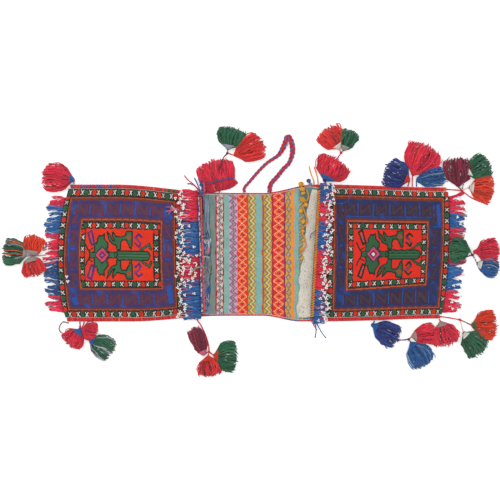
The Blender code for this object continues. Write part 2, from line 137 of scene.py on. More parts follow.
def clothMaterial(name, ribPitch, strength):
    # weft-faced flat weave: ribs of packed weft over the warps, painted shade in the grooves between them, and uneven
    # dye
    material, tree, shader = newMaterial(name, 0.9, 0.15)
    colour = addNode(tree, "ShaderNodeAttribute", {}, attribute_name="yarn").outputs["Color"]
    place = addNode(tree, "ShaderNodeTexCoord", {}).outputs["Object"]
    waves = {}
    for direction, pitch, distortion, detail in (("Y", ribPitch, 1.2, 60.0), ("X", ribPitch * 0.45, 2.0, 90.0)):
        wave = addNode(tree, "ShaderNodeTexWave", {
            "Vector": place, "Scale": 2 * math.pi / 20 / pitch, "Distortion": distortion, "Detail": 2.0,
            "Detail Scale": detail}, wave_type="BANDS", bands_direction=direction)
        waves[len(waves)] = wave.outputs["Fac"]
    # fuzz of 1.4 mm, and patches of about 36 mm where the dye took differently
    fuzz = addNode(tree, "ShaderNodeTexNoise", {"Vector": place, "Scale": 0.7 / mm, "Detail": 4.0}).outputs["Fac"]
    abrash = addNode(tree, "ShaderNodeTexNoise", {"Vector": place, "Scale": 0.028 / mm, "Detail": 4.0}).outputs["Fac"]
    ribs = addNode(tree, "ShaderNodeMath", waves, operation="ADD").outputs["Value"]
    relief = addNode(tree, "ShaderNodeMath", {0: ribs, 1: fuzz}, operation="ADD").outputs["Value"]
    dyeing = addNode(tree, "ShaderNodeMapRange", {"Value": abrash, "To Min": 0.78, "To Max": 1.2}).outputs["Result"]
    # the colour follows the relief: it is painted darker where the ribs and fuzz are low, as shade in the grooves
    grain = addNode(tree, "ShaderNodeMapRange", {
        "Value": relief, "From Min": 0.6, "From Max": 2.2, "To Min": 0.8, "To Max": 1.14}).outputs["Result"]
    both = addNode(tree, "ShaderNodeMath", {0: dyeing, 1: grain}, operation="MULTIPLY").outputs["Value"]
    shade = addNode(tree, "ShaderNodeVectorMath", {"Vector": colour, "Scale": both}, operation="SCALE")
    bump = addNode(tree, "ShaderNodeBump", {"Strength": strength, "Distance": 0.7 * mm, "Height": relief})
    setInputs(tree, shader, {"Base Color": shade.outputs["Vector"], "Normal": bump.outputs["Normal"]})
    return material


def beadMaterial():
    # white seed beads of pressed glass, each a little uneven, with a soft gloss
    material, tree, shader = newMaterial("white seed bead glass", 0.28, specular=0.5)
    place = addNode(tree, "ShaderNodeTexCoord", {}).outputs["Object"]
    cloud = addNode(tree, "ShaderNodeTexNoise", {"Vector": place, "Scale": 0.26 / mm}).outputs["Fac"]
    ramp = addNode(tree, "ShaderNodeValToRGB", {"Fac": cloud})
    for stop, position, code in zip(ramp.color_ramp.elements, (0.3, 0.6), ("#DDD8CC", "#FAF8F3")):
        stop.position = position
        stop.color = (*linear(code), 1)
    setInputs(tree, shader, {"Base Color": ramp.outputs["Color"]})
    return material


yarnWool = yarnMaterial()
kilimCloth = clothMaterial("kilim weft-faced wool", 2.6 * mm, 0.55)
creamCloth = clothMaterial("undyed cotton plain weave", 1.8 * mm, 0.5)
beadGlass = beadMaterial()
print("materials made")


# Camera, floor and light


def setStage():
    settings = {"height": 4.1667, "x": -0.018, "y": 0.009, "glow": 0.42, "sky": 0.74, "floorHalf": 9}
    scene = bpy.context.scene
    camera = bpy.data.cameras.new("camera")
    camera.lens = 100
    camera.sensor_width = 36
    cameraObject = bpy.data.objects.new("camera", camera)
    cameraObject.location = (settings["x"], settings["y"], settings["height"])
    scene.collection.objects.link(cameraObject)
    scene.camera = cameraObject

    shape = bmesh.new()
    bmesh.ops.create_grid(shape, x_segments=1, y_segments=1, size=settings["floorHalf"])
    mesh = bpy.data.meshes.new("floor")
    shape.to_mesh(mesh)
    shape.free()
    paper = bpy.data.materials.new("white studio paper")
    paper.use_nodes = True
    tree = paper.node_tree
    # the paper glows a little for the camera alone, so that it is white with a faint shadow
    seen = addNode(tree, "ShaderNodeLightPath", {}).outputs["Is Camera Ray"]
    glow = addNode(tree, "ShaderNodeMath", {0: seen, 1: settings["glow"]}, operation="MULTIPLY")
    setInputs(tree, tree.nodes["Principled BSDF"], {
        "Base Color": (0.86, 0.86, 0.86, 1), "Roughness": 0.9,
        "Emission Color": (1, 1, 1, 1), "Emission Strength": glow.outputs["Value"]})
    floor = linkObject("floor", mesh, paper)
    floor.location.z = -0.5 * mm

    world = bpy.data.worlds.new("studio")
    scene.world = world
    world.use_nodes = True
    tree = world.node_tree
    # the sky lights the bag softly, and is white where the camera sees it
    seen = addNode(tree, "ShaderNodeLightPath", {}).outputs["Is Camera Ray"]
    strength = addNode(tree, "ShaderNodeMath", {0: seen, 1: 1 - settings["sky"], 2: settings["sky"]},
                       operation="MULTIPLY_ADD")
    setInputs(tree, tree.nodes["Background"], {"Color": (1, 1, 1, 1), "Strength": strength.outputs["Value"]})
    for name, place, size, power in (
        ("key lamp", (-1.6, 1.9, 2.6), 1.6, 42),
        ("fill lamp", (2.2, -1.4, 2.4), 2.4, 20),
    ):
        lamp = bpy.data.lights.new(name, "AREA")
        lamp.energy = power
        lamp.size = size
        lampObject = bpy.data.objects.new(name, lamp)
        lampObject.location = place
        lampObject.rotation_euler = (-Vector(place)).to_track_quat("-Z", "Y").to_euler()
        scene.collection.objects.link(lampObject)
    scene.view_settings.view_transform = "Standard"


setStage()


# Outline of the strip, the same as the solids have


leftMouth, rightMouth = -0.160, 0.175
endTall, endRise = 0.005, 0.0014  # the end fringes' roots
leftEnd, rightEnd = -0.567, 0.5665
pouchHalf, waistTop, waistBottom = 0.206, 0.181, 0.189
pouchCord, bridgeCord = 0.013, 0.006
weave, seam, bindingTop = 0.003, 0.0006, 0.0088


def pinch(x, fullLeft, freeRight, rightStop):
    drawnIn = smooth((x - fullLeft) / (leftMouth * 0.65 - fullLeft))
    letOut = smooth((x - freeRight) / (rightStop - freeRight))
    return drawnIn * (1 - letOut)


def taper(x):
    start = rightMouth * 1.15
    return 0.009 * smooth((x - start) / (rightEnd - start))


def topEdge(x):
    drawn = pinch(x, leftMouth * 2.6, rightMouth * 0.12, rightMouth)
    return pouchHalf - (pouchHalf - waistTop) * drawn - taper(x)


def bottomEdge(x):
    drawn = pinch(x, leftMouth * 2.3, rightMouth * 0.12, rightMouth * 0.76)
    return -pouchHalf + (pouchHalf - waistBottom) * drawn + taper(x)


def onPouch(x):
    length = pouchCord * 5
    return np.maximum(smooth((leftMouth - x) / length + 0.5), smooth((x - rightMouth) / length + 0.5))


def cordWidth(x):
    return mix(bridgeCord, pouchCord, onPouch(x))


def clothTop(x):
    return topEdge(x) - cordWidth(x) - seam


def clothBottom(x):
    return bottomEdge(x) + cordWidth(x) + seam


def outerEnd(side, v):
    if side < 0:
        return leftEnd - 0.024 * (1 - v * v) + 0.005 * v
    return rightEnd + 0.0095 * (1 - v * v) + 0.0095 * v


def mouthAt(side, v):
    return leftMouth - 0.005 * v if side < 0 else rightMouth + 0.0105 * v


def faceMiddle(u, v):
    return 0.0055 + 0.012 * (1 - 0.35 * u * u) * (1 - v ** 4)


def across(x, y):
    top, bottom = clothTop(x), clothBottom(x)
    return np.clip((2 * y - top - bottom) / (top - bottom), -1, 1)


def faceTop(side, x, y):
    v = across(x, y)
    u = np.clip((x - mouthAt(side, v)) / (outerEnd(side, v) - mouthAt(side, v)), 0, 1)
    cloth = faceMiddle(u, v) + weave / 2
    edging = smooth((np.abs(y) - clothTop(x) + pouchCord) / pouchCord)
    return np.maximum(cloth, bindingTop * edging)


# Painting the weave. Places are in units of 3 mm of cloth, px to the right and py downwards,
# from a corner that lies 256 units to the left of the origin and 253 above it.

cell, cellsLeft, cellsAbove = 3 * mm, 256, 253


def planeX(px):
    return cell * (px - cellsLeft)


def planeY(py):
    return cell * (cellsAbove - py)


class WovenPattern:
    def __init__(self, px, py, base):
        self.px, self.py = px, py
        self.colour = np.empty(px.shape + (3,))
        self.colour[:] = base

    def fill(self, mask, colour):
        self.colour[mask] = colour

    def box(self, x0, x1, y0, y1):
        return (self.px >= x0) & (self.px < x1) & (self.py >= y0) & (self.py < y1)

    def band(self, x0, x1, y0, y1, colour):
        self.fill(self.box(x0, x1, y0, y1), colour)

    def inside(self, corners):
        # points inside a polygon, by counting the sides that a line to the right crosses
        inside = np.zeros(self.px.shape, bool)
        for (ax, ay), (bx, by) in zip(corners, corners[1:] + corners[:1]):
            if ay == by:
                continue
            crosses = (ay > self.py) != (by > self.py)
            inside ^= crosses & (self.px < (bx - ax) * (self.py - ay) / (by - ay) + ax)
        return inside

    def near(self, points, width, closed=False):
        found = np.zeros(self.px.shape, bool)
        for (ax, ay), (bx, by) in zip(points, points[1:] + (points[:1] if closed else [])):
            dx, dy = bx - ax, by - ay
            along = np.clip(((self.px - ax) * dx + (self.py - ay) * dy) / (dx * dx + dy * dy + 1e-9), 0, 1)
            found |= np.hypot(self.px - ax - along * dx, self.py - ay - along * dy) < width / 2
        return found

    def shape(self, corners, colour, outline=None, width=1.0):
        self.fill(self.inside(corners), colour)
        if outline is not None:
            self.fill(self.near(corners, width, True), outline)

    def line(self, points, width, colour):
        self.fill(self.near(points, width), colour)

    def patches(self, boxes, slope, colour):
        # small slanted places where a brighter yarn shows
        for x0, x1, y0, y1 in boxes:
            self.shape([(x0, y0 + slope), (x1 - 1, y0), (x1, y1 - slope), (x0 + 1, y1)], colour)

    def crossBorder(self, along, through, start, block, low, high, middle, half, order):
        # a row of blocks along one direction: white crosses (x), green blocks (g) and red blocks (o)
        step = (along - start) / block + 0.5
        index = np.floor(step).astype(int)
        dx = np.abs(step - index - 0.5) * 2
        dy = np.abs(through - middle) / half
        row = (through >= middle - half) & (through < middle + half) & (along >= low) & (along < high)
        self.fill(row, dye["charcoal"])
        for i, letter in enumerate(order):
            here = row & (np.mod(index, len(order)) == i)
            if letter == "x":
                self.fill(here & (np.abs(dx - dy) < 0.2) & (dy < 0.66) & (dx < 0.7), dye["cream"])
            elif letter == "g":
                self.fill(here & (dx < 0.86 - 0.25 * (dy > 0.6)) & (dy < 0.86), dye["leaf"] * 0.8)
                self.fill(here & (np.abs(dy - 0.45) < 0.1) & (dx < 0.3), dye["leafDark"])
            else:
                self.fill(here & (dx + dy * 0.5 < 1.0) & (dy < 0.78), dye["ground"] * 0.82)

    def borders(self, px, py, rows, columns):
        for row in rows:
            self.crossBorder(px, py, *row)
        for column in columns:
            self.crossBorder(py, px, *column)


upperBird = [
    (4.1, -23.9), (7.5, -19.6), (10.3, -14.4), (12.2, -13.9), (9.9, -18.7), (9.9, -23.4), (13.7, -18.2),
    (18.5, -18.2), (22.8, -19.6), (23.7, -23.9), (29.5, -24.2), (29.8, -15.8), (29.0, -6.2), (27.6, -7.2),
    (25.6, -12.0), (23.7, -15.3), (19.4, -15.3), (18.3, -12.0), (18.3, -5.7), (14.6, -5.1), (13.7, -10.0),
    (9.9, -11.0), (6.0, -15.8),
]
upperPetals = [
    (-12.1, -2.6), (-8.0, -3.0), (-7.4, -7.2), (-8.3, -11.0), (-5.5, -12.0), (-5.0, -15.8), (-3.1, -20.1),
    (-1.0, -19.0), (1.7, -21.0), (2.0, -15.8), (6.0, -11.0), (5.6, -7.2), (4.0, -6.4), (6.6, -2.9),
    (14.6, -2.9), (14.6, 0.0), (-12.1, 0.0),
]


hookLeft = [(-15.0, -22.0), (-11.4, -24.4), (-8.1, -12.0), (-10.7, -10.0)]
hookRight = [(39.0, -18.7), (35.7, -21.5), (32.6, -17.7), (38.1, -12.0), (36.6, -8.1), (32.8, -12.0)]
birdEye = [(26.2, -20.2), (28.0, -18.2), (26.2, -16.2), (24.4, -18.2)]
treeTrunk = [(14.8, -4.2), (44.6, -4.2), (47.0, -2.2), (47.4, 0.4), (46.2, 3.6), (44.4, 5.0), (14.8, 5.0)]


def paintTree(cloth, cx, cy, leaf, outline, centre, hook):
    def place(points, flip=1):
        return [(cx + x, cy + flip * y) for x, y in points]

    for flip in (1, -1):
        for points, width, colour in (
            ([(-11.5, -1.5), (-14.0, -5.0), (-16.8, -11.0)], 1.5, outline),
            ([(-12.8, -4.6), (-9.4, -6.8)], 1.2, outline),
            ([(37.8, -4.6), (46.4, -11.6), (48.4, -6.6)], 2.8, outline),
            ([(37.8, -4.6), (46.4, -11.6), (48.2, -7.0)], 1.3, leaf),
        ):
            cloth.line(place(points, flip), width, colour)
        cloth.shape(place(upperPetals, flip), leaf, outline, 1.25)
        cloth.shape(place(upperBird, flip), leaf, outline, 1.25)
        cloth.shape(place(birdEye, flip), leaf, dye["ground"] * 0.8, 0.8)
        # the slanted hooks in the corners of the ground
        cloth.shape(place(hookLeft, flip), dye["ground"], hook, 1.9)
        cloth.line(place([(-12.2, -20.5), (-9.9, -13.4)], flip), 0.8, dye["plumGrey"])
        cloth.line(place(hookRight, flip), 2.1, hook)
        cloth.line(place(hookRight[2:4], flip), 0.6, dye["plumGrey"])
    cloth.shape(place(treeTrunk), leaf, outline, 1.3)
    cloth.band(cx + 16.5, cx + 44.8, cy - 0.8, cy + 1.8, leaf * 1.25)
    for y in (-0.9, 1.9):
        cloth.line(place([(16.0, y), (45.0, y)]), 0.75, outline)
    cloth.band(cx - 11.4, cx + 14.0, cy - 2.3, cy + 2.6, leaf)
    for x in (5.3, 12.4):
        cloth.line(place([(x, -2.8), (x, 3.0)]), 0.8, outline)
    for y in (-2.6, 2.9):
        for x0, x1 in ((5.0, 14.4), (-12.0, -6.2)):
            cloth.line(place([(x0, y), (x1, y)]), 0.8, outline)
    rings = ((7.8, outline), (6.5, dye["pinkDye"]), (5.0, dye["ground"]), (3.6, dye["violet"]), (1.8, centre))
    for size, colour in rings:
        cloth.shape(place([(-size, 0), (0, -size * 1.15), (size, 0), (0, size * 1.15)]), colour)


def paintPanels(cloth, low, high, bars, level, lean, vertical, colours):
    # slanted figures with a leg at either end, between short bright bars
    figure, outline, bar = colours

    def turned(points):
        return [(y, x) if vertical else (x, y) for x, y in points]

    rise, leg, slant = (high - low) * 0.22, 2.7 if vertical else 3.5, 3.4 if vertical else 4.8
    for a, b in zip(bars, bars[1:]):
        left, right = mix(a, b, 0.22), mix(a, b, 0.78)
        top, foot = level - lean * rise, level + lean * rise
        legs = turned([(left, top), (left, foot)]), turned([(right, top), (right, foot)])
        body = turned([(left, foot), (right, top)])
        for share, colour in ((1, outline), (0.6, figure)):
            for line, width in ((legs[0], leg), (legs[1], leg), (body, slant)):
                cloth.line(line, width * share, colour)
    for place in bars:
        cloth.line(turned([(place, low + 4), (place, high - 4)]), 1.0, bar)


def addFrame(cloth, x0, x1, y0, y1, width, colour):
    inner = cloth.box(x0 + width, x1 - width, y0 + width, y1 - width)
    cloth.fill(cloth.box(x0, x1, y0, y1) & ~inner, colour)


def shadeField(cloth, box, dark, bright, seed):
    # the dye of the field drifts from violet to a brighter blue
    px, py = cloth.px, cloth.py
    drift = np.sin(px * 0.19 + seed) * np.sin(py * 0.15 + 2 * seed) + 0.5 * np.sin(px * 0.53 - py * 0.41)
    where = cloth.box(*box)
    share = smooth(0.08 + 0.42 * drift)[..., None]
    cloth.colour[where] = mix(dark, bright, share)[where]


def paintLeftFace(px, py):
    cloth = WovenPattern(px, py, dye["charcoal"])
    cloth.fill(px < 59.2, dye["selvage"])
    cloth.fill(px > 181, dye["guardBrown"])
    cloth.borders(px, py, (
        (76.9, 4.3, 61, 181, 192.4, 3.9, "xgxo"), (79.6, 4.27, 61, 181, 314.9, 3.8, "gxox"),
    ), (
        (202.8, 5.66, 196.5, 311.5, 62.4, 2.7, "xgxo"), (205.8, 5.66, 196.5, 311.5, 178.6, 2.5, "xgxo"),
    ))
    cloth.band(65.6, 176, 196.6, 311.0, dye["guardBrown"])
    addFrame(cloth, 65.8, 175.8, 197.2, 310.6, 1.0, dye["guard"])
    shadeField(cloth, (68.6, 173.2, 200.6, 308.0), dye["fieldLeft"], dye["brightBlue"], 1.0)
    colours = (mix(dye["umber"], dye["fieldLeft"], 0.35), dye["plumLine"] * 0.7, dye["brightBlue"])
    for panel in (
        (200.6, 218.0, [72, 88, 103.5, 119, 134.5, 150, 165.5], 209.4, -1, False),
        (291.2, 308.4, [75.5, 91.4, 106.5, 122, 137.6, 153.2, 168.6], 299.8, 1, False),
        (68.6, 79.2, [206, 227, 249, 270, 291], 74.2, 1, True),
        (163.0, 173.4, [219, 239, 259, 280, 301], 168.0, -1, True),
    ):
        paintPanels(cloth, *panel, colours)
    cloth.patches((
        (71, 77, 297, 306), (167, 172.6, 286, 306), (169.5, 173, 208, 216), (69, 71, 226, 262), (163.8, 166, 236, 250),
    ), 1, dye["brightBlue"])
    cloth.band(79.2, 163.6, 217.6, 290.8, dye["guardBrown"])
    addFrame(cloth, 80.4, 162.6, 219.2, 289.8, 1.1, dye["guard"] * 1.2)
    cloth.band(82.2, 161.0, 221.2, 288.2, dye["charcoal"])
    cloth.borders(px, py, (
        (81.4, 4.14, 82.4, 160.8, 225.4, 3.2, "xgxo"), (79.6, 4.25, 82.4, 160.8, 284.5, 3.2, "xgxo"),
    ), (
        (231.8, 5.75, 228.6, 281.4, 83.8, 2.3, "oxgx"), (231.0, 5.6, 228.6, 281.4, 157.2, 2.4, "oxgx"),
    ))
    cloth.band(86.4, 154.0, 228.9, 281.0, dye["ground"])
    paintTree(cloth, 103.5, 255.2, dye["leaf"], dye["leafDark"], dye["pinkDye"], dye["violet"])
    return cloth.colour


def paintRightFace(px, py):
    cloth = WovenPattern(px, py, dye["charcoal"])
    cloth.fill(px > 449.4, dye["selvage"])
    cloth.fill(px < 327, dye["guardBrown"])
    # the inner frames rise a little to the right along their lower side
    lower = np.clip((py - 253) / 36, 0, 3)
    tilt = smooth(lower / 0.7) * (1 - smooth((lower - 1.05) / 0.5))
    level = py + 4.0 * np.clip((px - 346) / 81, 0, 1) * tilt
    cloth.borders(px, py, (
        (341.8, 4.02, 327, 449, 190.6, 3.6, "gxox"), (340.6, 4.06, 327, 449, 314.4, 3.5, "oxgx"),
    ), (
        (195.3, 5.86, 194.4, 311, 446.4, 2.7, "xoxg"), (209.0, 5.8, 194.4, 311, 330.4, 2.4, "gxox"),
    ))
    cloth.band(332.8, 443.6, 194.2, 311.0, dye["guardBrown"])
    addFrame(cloth, 333.4, 443.2, 194.8, 310.4, 1.0, dye["guard"] * 1.1)
    shadeField(cloth, (336.0, 440.6, 198.4, 307.8), dye["fieldRight"], dye["brightBlue"] * 0.8, 2.2)
    colours = (mix(dye["umberDark"], dye["fieldRight"], 0.35), dye["plumLine"] * 0.33, dye["brightBlue"] * 0.9)
    for rows, panel in (
        (py, (199.0, 217.8, [341.5, 357.3, 372.6, 389.3, 404.6, 419, 433], 208.4, 1, False)),
        (level, (292.0, 309.0, [343.5, 358.7, 375, 390.3, 404.6, 418.0, 431.5], 300.4, -1, False)),
        (level, (335.8, 345.4, [202, 222, 245, 267, 289], 340.4, -1, True)),
        (level, (429.0, 440.2, [204, 225, 247, 267.5, 288], 434.6, 1, True)),
    ):
        cloth.py = rows
        paintPanels(cloth, *panel, colours)
    cloth.patches(((436, 440.4, 201, 226), (346, 432, 215, 216), (336.4, 338, 236, 262)), 0.5, dye["brightBlue"] * 0.95)
    cloth.band(345.2, 428.8, 217.8, 291.4, dye["guardBrown"] * 0.9)
    addFrame(cloth, 346.4, 427.8, 219.6, 290.2, 1.1, dye["guard"] * 1.2)
    cloth.band(348.2, 426.0, 221.4, 288.6, dye["charcoal"])
    cloth.borders(px, level, (
        (350.1, 4.06, 348.4, 425.8, 225.4, 3.0, "xoxg"), (350.6, 4.06, 348.4, 425.8, 285.0, 3.0, "xoxg"),
    ), (
        (231.2, 5.8, 228.6, 281.8, 350.4, 2.3, "gxox"), (230.2, 5.6, 228.6, 281.8, 423.7, 2.3, "xoxg"),
    ))
    cloth.band(353.0, 421.2, 228.6, 281.6, dye["groundRight"])
    cloth.py = py
    paintTree(cloth, 373.1, 253.7, dye["leaf"] * 0.8, dye["leafDark"] * 0.9, dye["white"], dye["leafDark"])
    return cloth.colour


def paintBridge(px, py):
    cloth = WovenPattern(px, py, dye["guardBrown"])
    stripes = (
        (180, 203.4, "guardBrown"), (203.4, 209.4, "dustyBlue"),
        (209.4, 215.4, "slateGreen"), (215.4, 216.8, "crimsonLine"),
        (216.8, 222.8, "bandCream"), (222.8, 224.0, "crimsonLine"), (224.0, 229.5, "teal"), (229.5, 237.5, "rose"),
        (237.5, 247.0, "stripeRed"), (247.0, 248.3, "guard"), (248.3, 255.6, "mustard"), (255.6, 262.3, "teal"),
        (262.3, 264.0, "guard"), (264.0, 271.7, "mustard"), (271.7, 273.2, "crimsonLine"), (273.2, 284.4, "stripeRed"),
        (284.4, 285.6, "violet"), (285.6, 291.4, "mustard"), (291.4, 294.3, "apricot"), (294.3, 299.0, "teal"),
        (299.0, 340.0, "tealGrey"),
    )
    for x0, x1, name in stripes:
        cloth.fill((px >= x0) & (px < x1), dye[name])
    settings = {"zigzag": 6.4, "lattice": 7.7, "chain": 7.6}

    def zigzag(x0, x1, width, colour, phase):
        swing = np.abs(np.mod((py + phase) / settings["zigzag"], 1) * 2 - 1)
        slope = 2 * (x1 - x0) / settings["zigzag"]
        away = np.abs(px - x0 - (x1 - x0) * swing) / math.hypot(1, slope)
        cloth.fill((px >= x0 - 0.5) & (px < x1 + 0.5) & (away < width), colour)

    def lattice(x0, x1, colour, core, side):
        # crossing diagonals, with a diamond inside each field and half ones at the sides
        inBand = (px >= x0) & (px < x1)
        u = np.abs((px - x0) / (x1 - x0) * 2 - 1)
        w = np.abs(np.mod(py / settings["lattice"], 1) * 2 - 1)
        cloth.fill(inBand & (u + w < 0.4), core)
        cloth.fill(inBand & (np.abs(u - 1) + np.abs(w - 1) < 0.4), side)
        cloth.fill(inBand & (np.abs(u + w - 1) < 0.12), colour)
        cloth.fill(inBand & (np.abs(u + w - 0.6) < 0.05), mix(colour, dye["stripeRed"], 0.4))

    for x0, x1, width, name, share, phase in (
        (216.9, 220.6, 0.5, "plumGrey", 1, 0), (218.9, 222.6, 0.45, "slateGreen", 0.6, 0),
        (229.9, 233.9, 0.6, "plumGrey", 0.9, 0), (232.6, 236.6, 0.5, "plumGrey", 0.8, 0),
        (248.6, 252.4, 0.6, "slateGreen", 0.8, 0), (250.6, 254.4, 0.45, "maize", 1, 0),
        (252.2, 256.0, 0.45, "slateGreen", 0.9, 0), (264.4, 268.2, 0.6, "slateGreen", 0.8, 2),
        (266.4, 270.2, 0.45, "maize", 1, 2), (268.0, 271.8, 0.45, "slateGreen", 0.9, 2),
    ):
        zigzag(x0, x1, width, dye[name] * share, phase)
    lattice(237.9, 246.8, dye["peach"], dye["stripeRed"] * 0.75, dye["ground"])
    lattice(273.6, 284.0, dye["peach"], dye["stripeRed"] * 0.75, dye["stripeRed"] * 0.85)
    # a chain of outlined diamonds
    u = np.abs((px - 288.6) / 2.7) + np.abs(np.mod(py / settings["chain"], 1) * 2 - 1)
    inChain = (px >= 285.8) & (px < 291.3)
    cloth.fill(inChain & (np.abs(u - 0.86) < 0.2), dye["plumGrey"])
    cloth.fill(inChain & (u < 0.3), dye["dustyBlue"])
    # yellow stitches beside the flap, and worn places beside the left mouth
    stitch = np.mod(py / 3.4 + (px - 300) * 0.28, 1) < 0.42
    cloth.fill((px >= 299.4) & (px < 303.6) & stitch & (py > 196), dye["yellow"] * 0.9)
    worn = smooth(0.5 + 0.5 * np.sin(py * 0.17 + 2 * np.sin(px * 0.6)))[..., None]
    where = (px > 203) & (px < 216.0)
    cloth.colour[where] = mix(cloth.colour, dye["grey"] * 0.9, 0.3 * worn)[where]
    # a dark meandering line of painted shadow along the fold beside the left mouth
    fromCreaseShade = np.abs(px - 210.0 - 0.9 * np.sin(py * 0.055) - 0.3 * np.sin(py * 0.31))
    cloth.fill(fromCreaseShade < 0.55 + 0.25 * np.sin(py * 0.21), dye["slateGreen"] * 0.5)
    return cloth.colour * 1.15


# Cloth


def clothPiece(name, rows, columns, place, paint, thickness, material):
    # a sheet on a grid of rows by columns, painted cell by cell, and thickened about its middle
    shape = bmesh.new()
    bmesh.ops.create_grid(shape, x_segments=rows, y_segments=columns, size=1)
    mesh = bpy.data.meshes.new(name)
    shape.to_mesh(mesh)
    shape.free()
    count = len(mesh.vertices)
    flat = np.empty(count * 3)
    mesh.vertices.foreach_get("co", flat)
    flat = flat.reshape(-1, 3)
    u, v = (flat[:, 0] + 1) / 2, flat[:, 1]
    points = place(u, v)
    mesh.vertices.foreach_set("co", points.reshape(-1))
    corners = np.empty(len(mesh.polygons) * 4, np.int32)
    mesh.loops.foreach_get("vertex_index", corners)
    corners = corners.reshape(-1, 4)
    colours = paint(u[corners].mean(1), v[corners].mean(1), points[corners].mean(1))
    grain = np.random.default_rng(len(name)).normal(1, 0.07, len(colours))
    colours = np.clip(colours * grain[:, None], 0, 1)
    layer = mesh.color_attributes.new("yarn", "FLOAT_COLOR", "CORNER")
    rgba = np.ones((len(colours), 4, 4), np.float32)
    rgba[:, :, :3] = colours[:, None, :]
    layer.data.foreach_set("color", rgba.reshape(-1))
    mesh.shade_smooth()
    mesh.update()
    obj = linkObject(name, mesh, material)
    solid = obj.modifiers.new("thickness", "SOLIDIFY")
    solid.thickness = thickness
    solid.offset = 0
    return obj


def wobble(x, y, size, seed):
    # slow hand-made unevenness
    phase = seed * 1.7
    return size * (np.sin(x * 61 + phase) * np.cos(y * 47 - phase) + 0.6 * np.sin(x * 131 - y * 97 + phase))


def rowPoint(x, v, z):
    y = mix(clothBottom(x), clothTop(x), (v + 1) / 2)
    return np.stack([x, y, np.broadcast_to(z, np.shape(x))], -1)


def facePiece(name, side, paint):
    settings = {"rows": 220, "columns": 188, "foldShare": 0.04, "patternHalf": 64.6}
    share = settings["foldShare"]

    def place(u, v):
        # u runs from the mouth to the fold, and then round it to the back
        t = np.clip(u / (1 - share), 0, 1)
        turn = np.clip((u - 1 + share) / share, 0, 1) * math.pi
        high = faceMiddle(np.ones_like(v), v)
        radius = (high - weave / 2) / 2
        centre = outerEnd(side, v) - side * (radius + weave / 2)
        onFace = mix(mouthAt(side, v), centre, t)
        x = np.where(turn > 0, centre + side * radius * np.sin(turn), onFace)
        flatZ = faceMiddle(t, v) + wobble(onFace, v * 0.2, 0.0006, side) * (1 - v ** 4)
        z = np.where(turn > 0, weave / 2 + radius * (1 + np.cos(turn)), flatZ)
        return rowPoint(x, v, z)

    def colour(u, v, points):
        t = np.clip(u / (1 - share), 0, 1)
        folded = np.clip((u - 1 + share) / share, 0, 1)
        # where the painted pattern starts and ends; the right pouch's ends are slanted
        mouth, end, middle = (203.0, 62.4, 253.2) if side < 0 else (314.2 + 3.2 * v, 446.2 + 0.6 * v, 252.6)
        px = mix(mouth, end, t) + side * 6 * folded
        py = middle - v * settings["patternHalf"]
        jitter = 0.14 * np.sin(px * 0.9 + py * 0.35) + 0.1 * np.sin(py * 1.3)
        return paint(px + jitter, py + jitter)

    return clothPiece(name, settings["rows"], settings["columns"], place, colour, weave, kilimCloth)


def backPiece():
    settings = {"rows": 230, "columns": 138, "bridge": (-0.17, 0.20)}

    def rowX(u, v):
        ends = []
        for side in (-1, 1):
            radius = (faceMiddle(np.ones_like(v), v) - weave / 2) / 2
            ends.append(outerEnd(side, v) - side * (radius + weave / 2))
        # most rows lie on the bridge, which shows
        x = np.interp(u, (0, 0.1, 0.9, 1), (0, 1, 2, 3))
        low, high = settings["bridge"]
        inner = np.where(x < 2, mix(low, high, x - 1), mix(high, ends[1], x - 2))
        return np.where(x < 1, mix(ends[0], low, x), inner)

    def place(u, v):
        x = rowX(u, v)
        return rowPoint(x, v, np.full_like(x, weave / 2))

    def colour(u, v, points):
        px = cellsLeft + points[:, 0] / cell
        py = cellsAbove - points[:, 1] / cell
        bridge = paintBridge(px + 0.35 * np.sin(py * 0.23), py)
        bands = np.mod(px / 9.5, 1)
        plain = np.where((bands < 0.5)[:, None], dye["guardBrown"], dye["stripeRed"] * 0.7)
        plain = np.where((np.abs(bands - 0.5) < 0.08)[:, None], dye["teal"] * 0.8, plain)
        return np.where(((px > 200) & (px < 322))[:, None], bridge, plain)

    return clothPiece("kilimBack", settings["rows"], settings["columns"], place, colour, weave, kilimCloth)


leftFace = facePiece("leftPouchFace", -1, paintLeftFace)
rightFace = facePiece("rightPouchFace", 1, paintRightFace)
back = backPiece()
for cloth in (back, leftFace, rightFace):
    finishPiece(cloth, "kilim", "woven_strip")
print("cloth woven")


# Yarn

gap = 0.0004
rng = np.random.default_rng(320)


def smoothRoute(points, step):
    # points about one step apart on a smooth curve through the given ones, as the solids have it
    points = [np.asarray(p, float) for p in points]
    ends = [2 * points[0] - points[1], *points, 2 * points[-1] - points[-2]]
    route = []
    for a, b, c, d in zip(ends, ends[1:], ends[2:], ends[3:]):
        pieces = max(1, round(np.linalg.norm(c - b) / step))
        for k in range(pieces):
            t = k / pieces
            bend = (2 * a - 5 * b + 4 * c - d) * t * t + (3 * b - a - 3 * c + d) * t ** 3
            route.append((2 * b + (c - a) * t + bend) / 2)
    route.append(points[-1])
    return np.array(route)


def routeFrames(route):
    along = np.gradient(route, axis=0)
    along /= np.linalg.norm(along, axis=1)[:, None]
    sideways = np.stack([-along[:, 1], along[:, 0], np.zeros(len(route))], 1)
    sideways /= np.maximum(np.linalg.norm(sideways, axis=1), 1e-9)[:, None]
    travelled = np.concatenate([[0], np.cumsum(np.linalg.norm(np.diff(route, axis=0), axis=1))])
    return sideways, np.cross(along, sideways), travelled


def plied(route, diameter, pitch, colours):
    # two strands twisted together along a route
    side, up, travelled = routeFrames(route)
    radius = diameter / 2 * 0.52
    offset = diameter / 2 - radius
    strands = []
    for i in range(2):
        turn = 2 * math.pi * (travelled / pitch + i / 2)
        points = route + side * (np.cos(turn) * offset)[:, None] + up * (np.sin(turn) * offset)[:, None]
        strands.append((points, radius, colours[i]))
    return strands


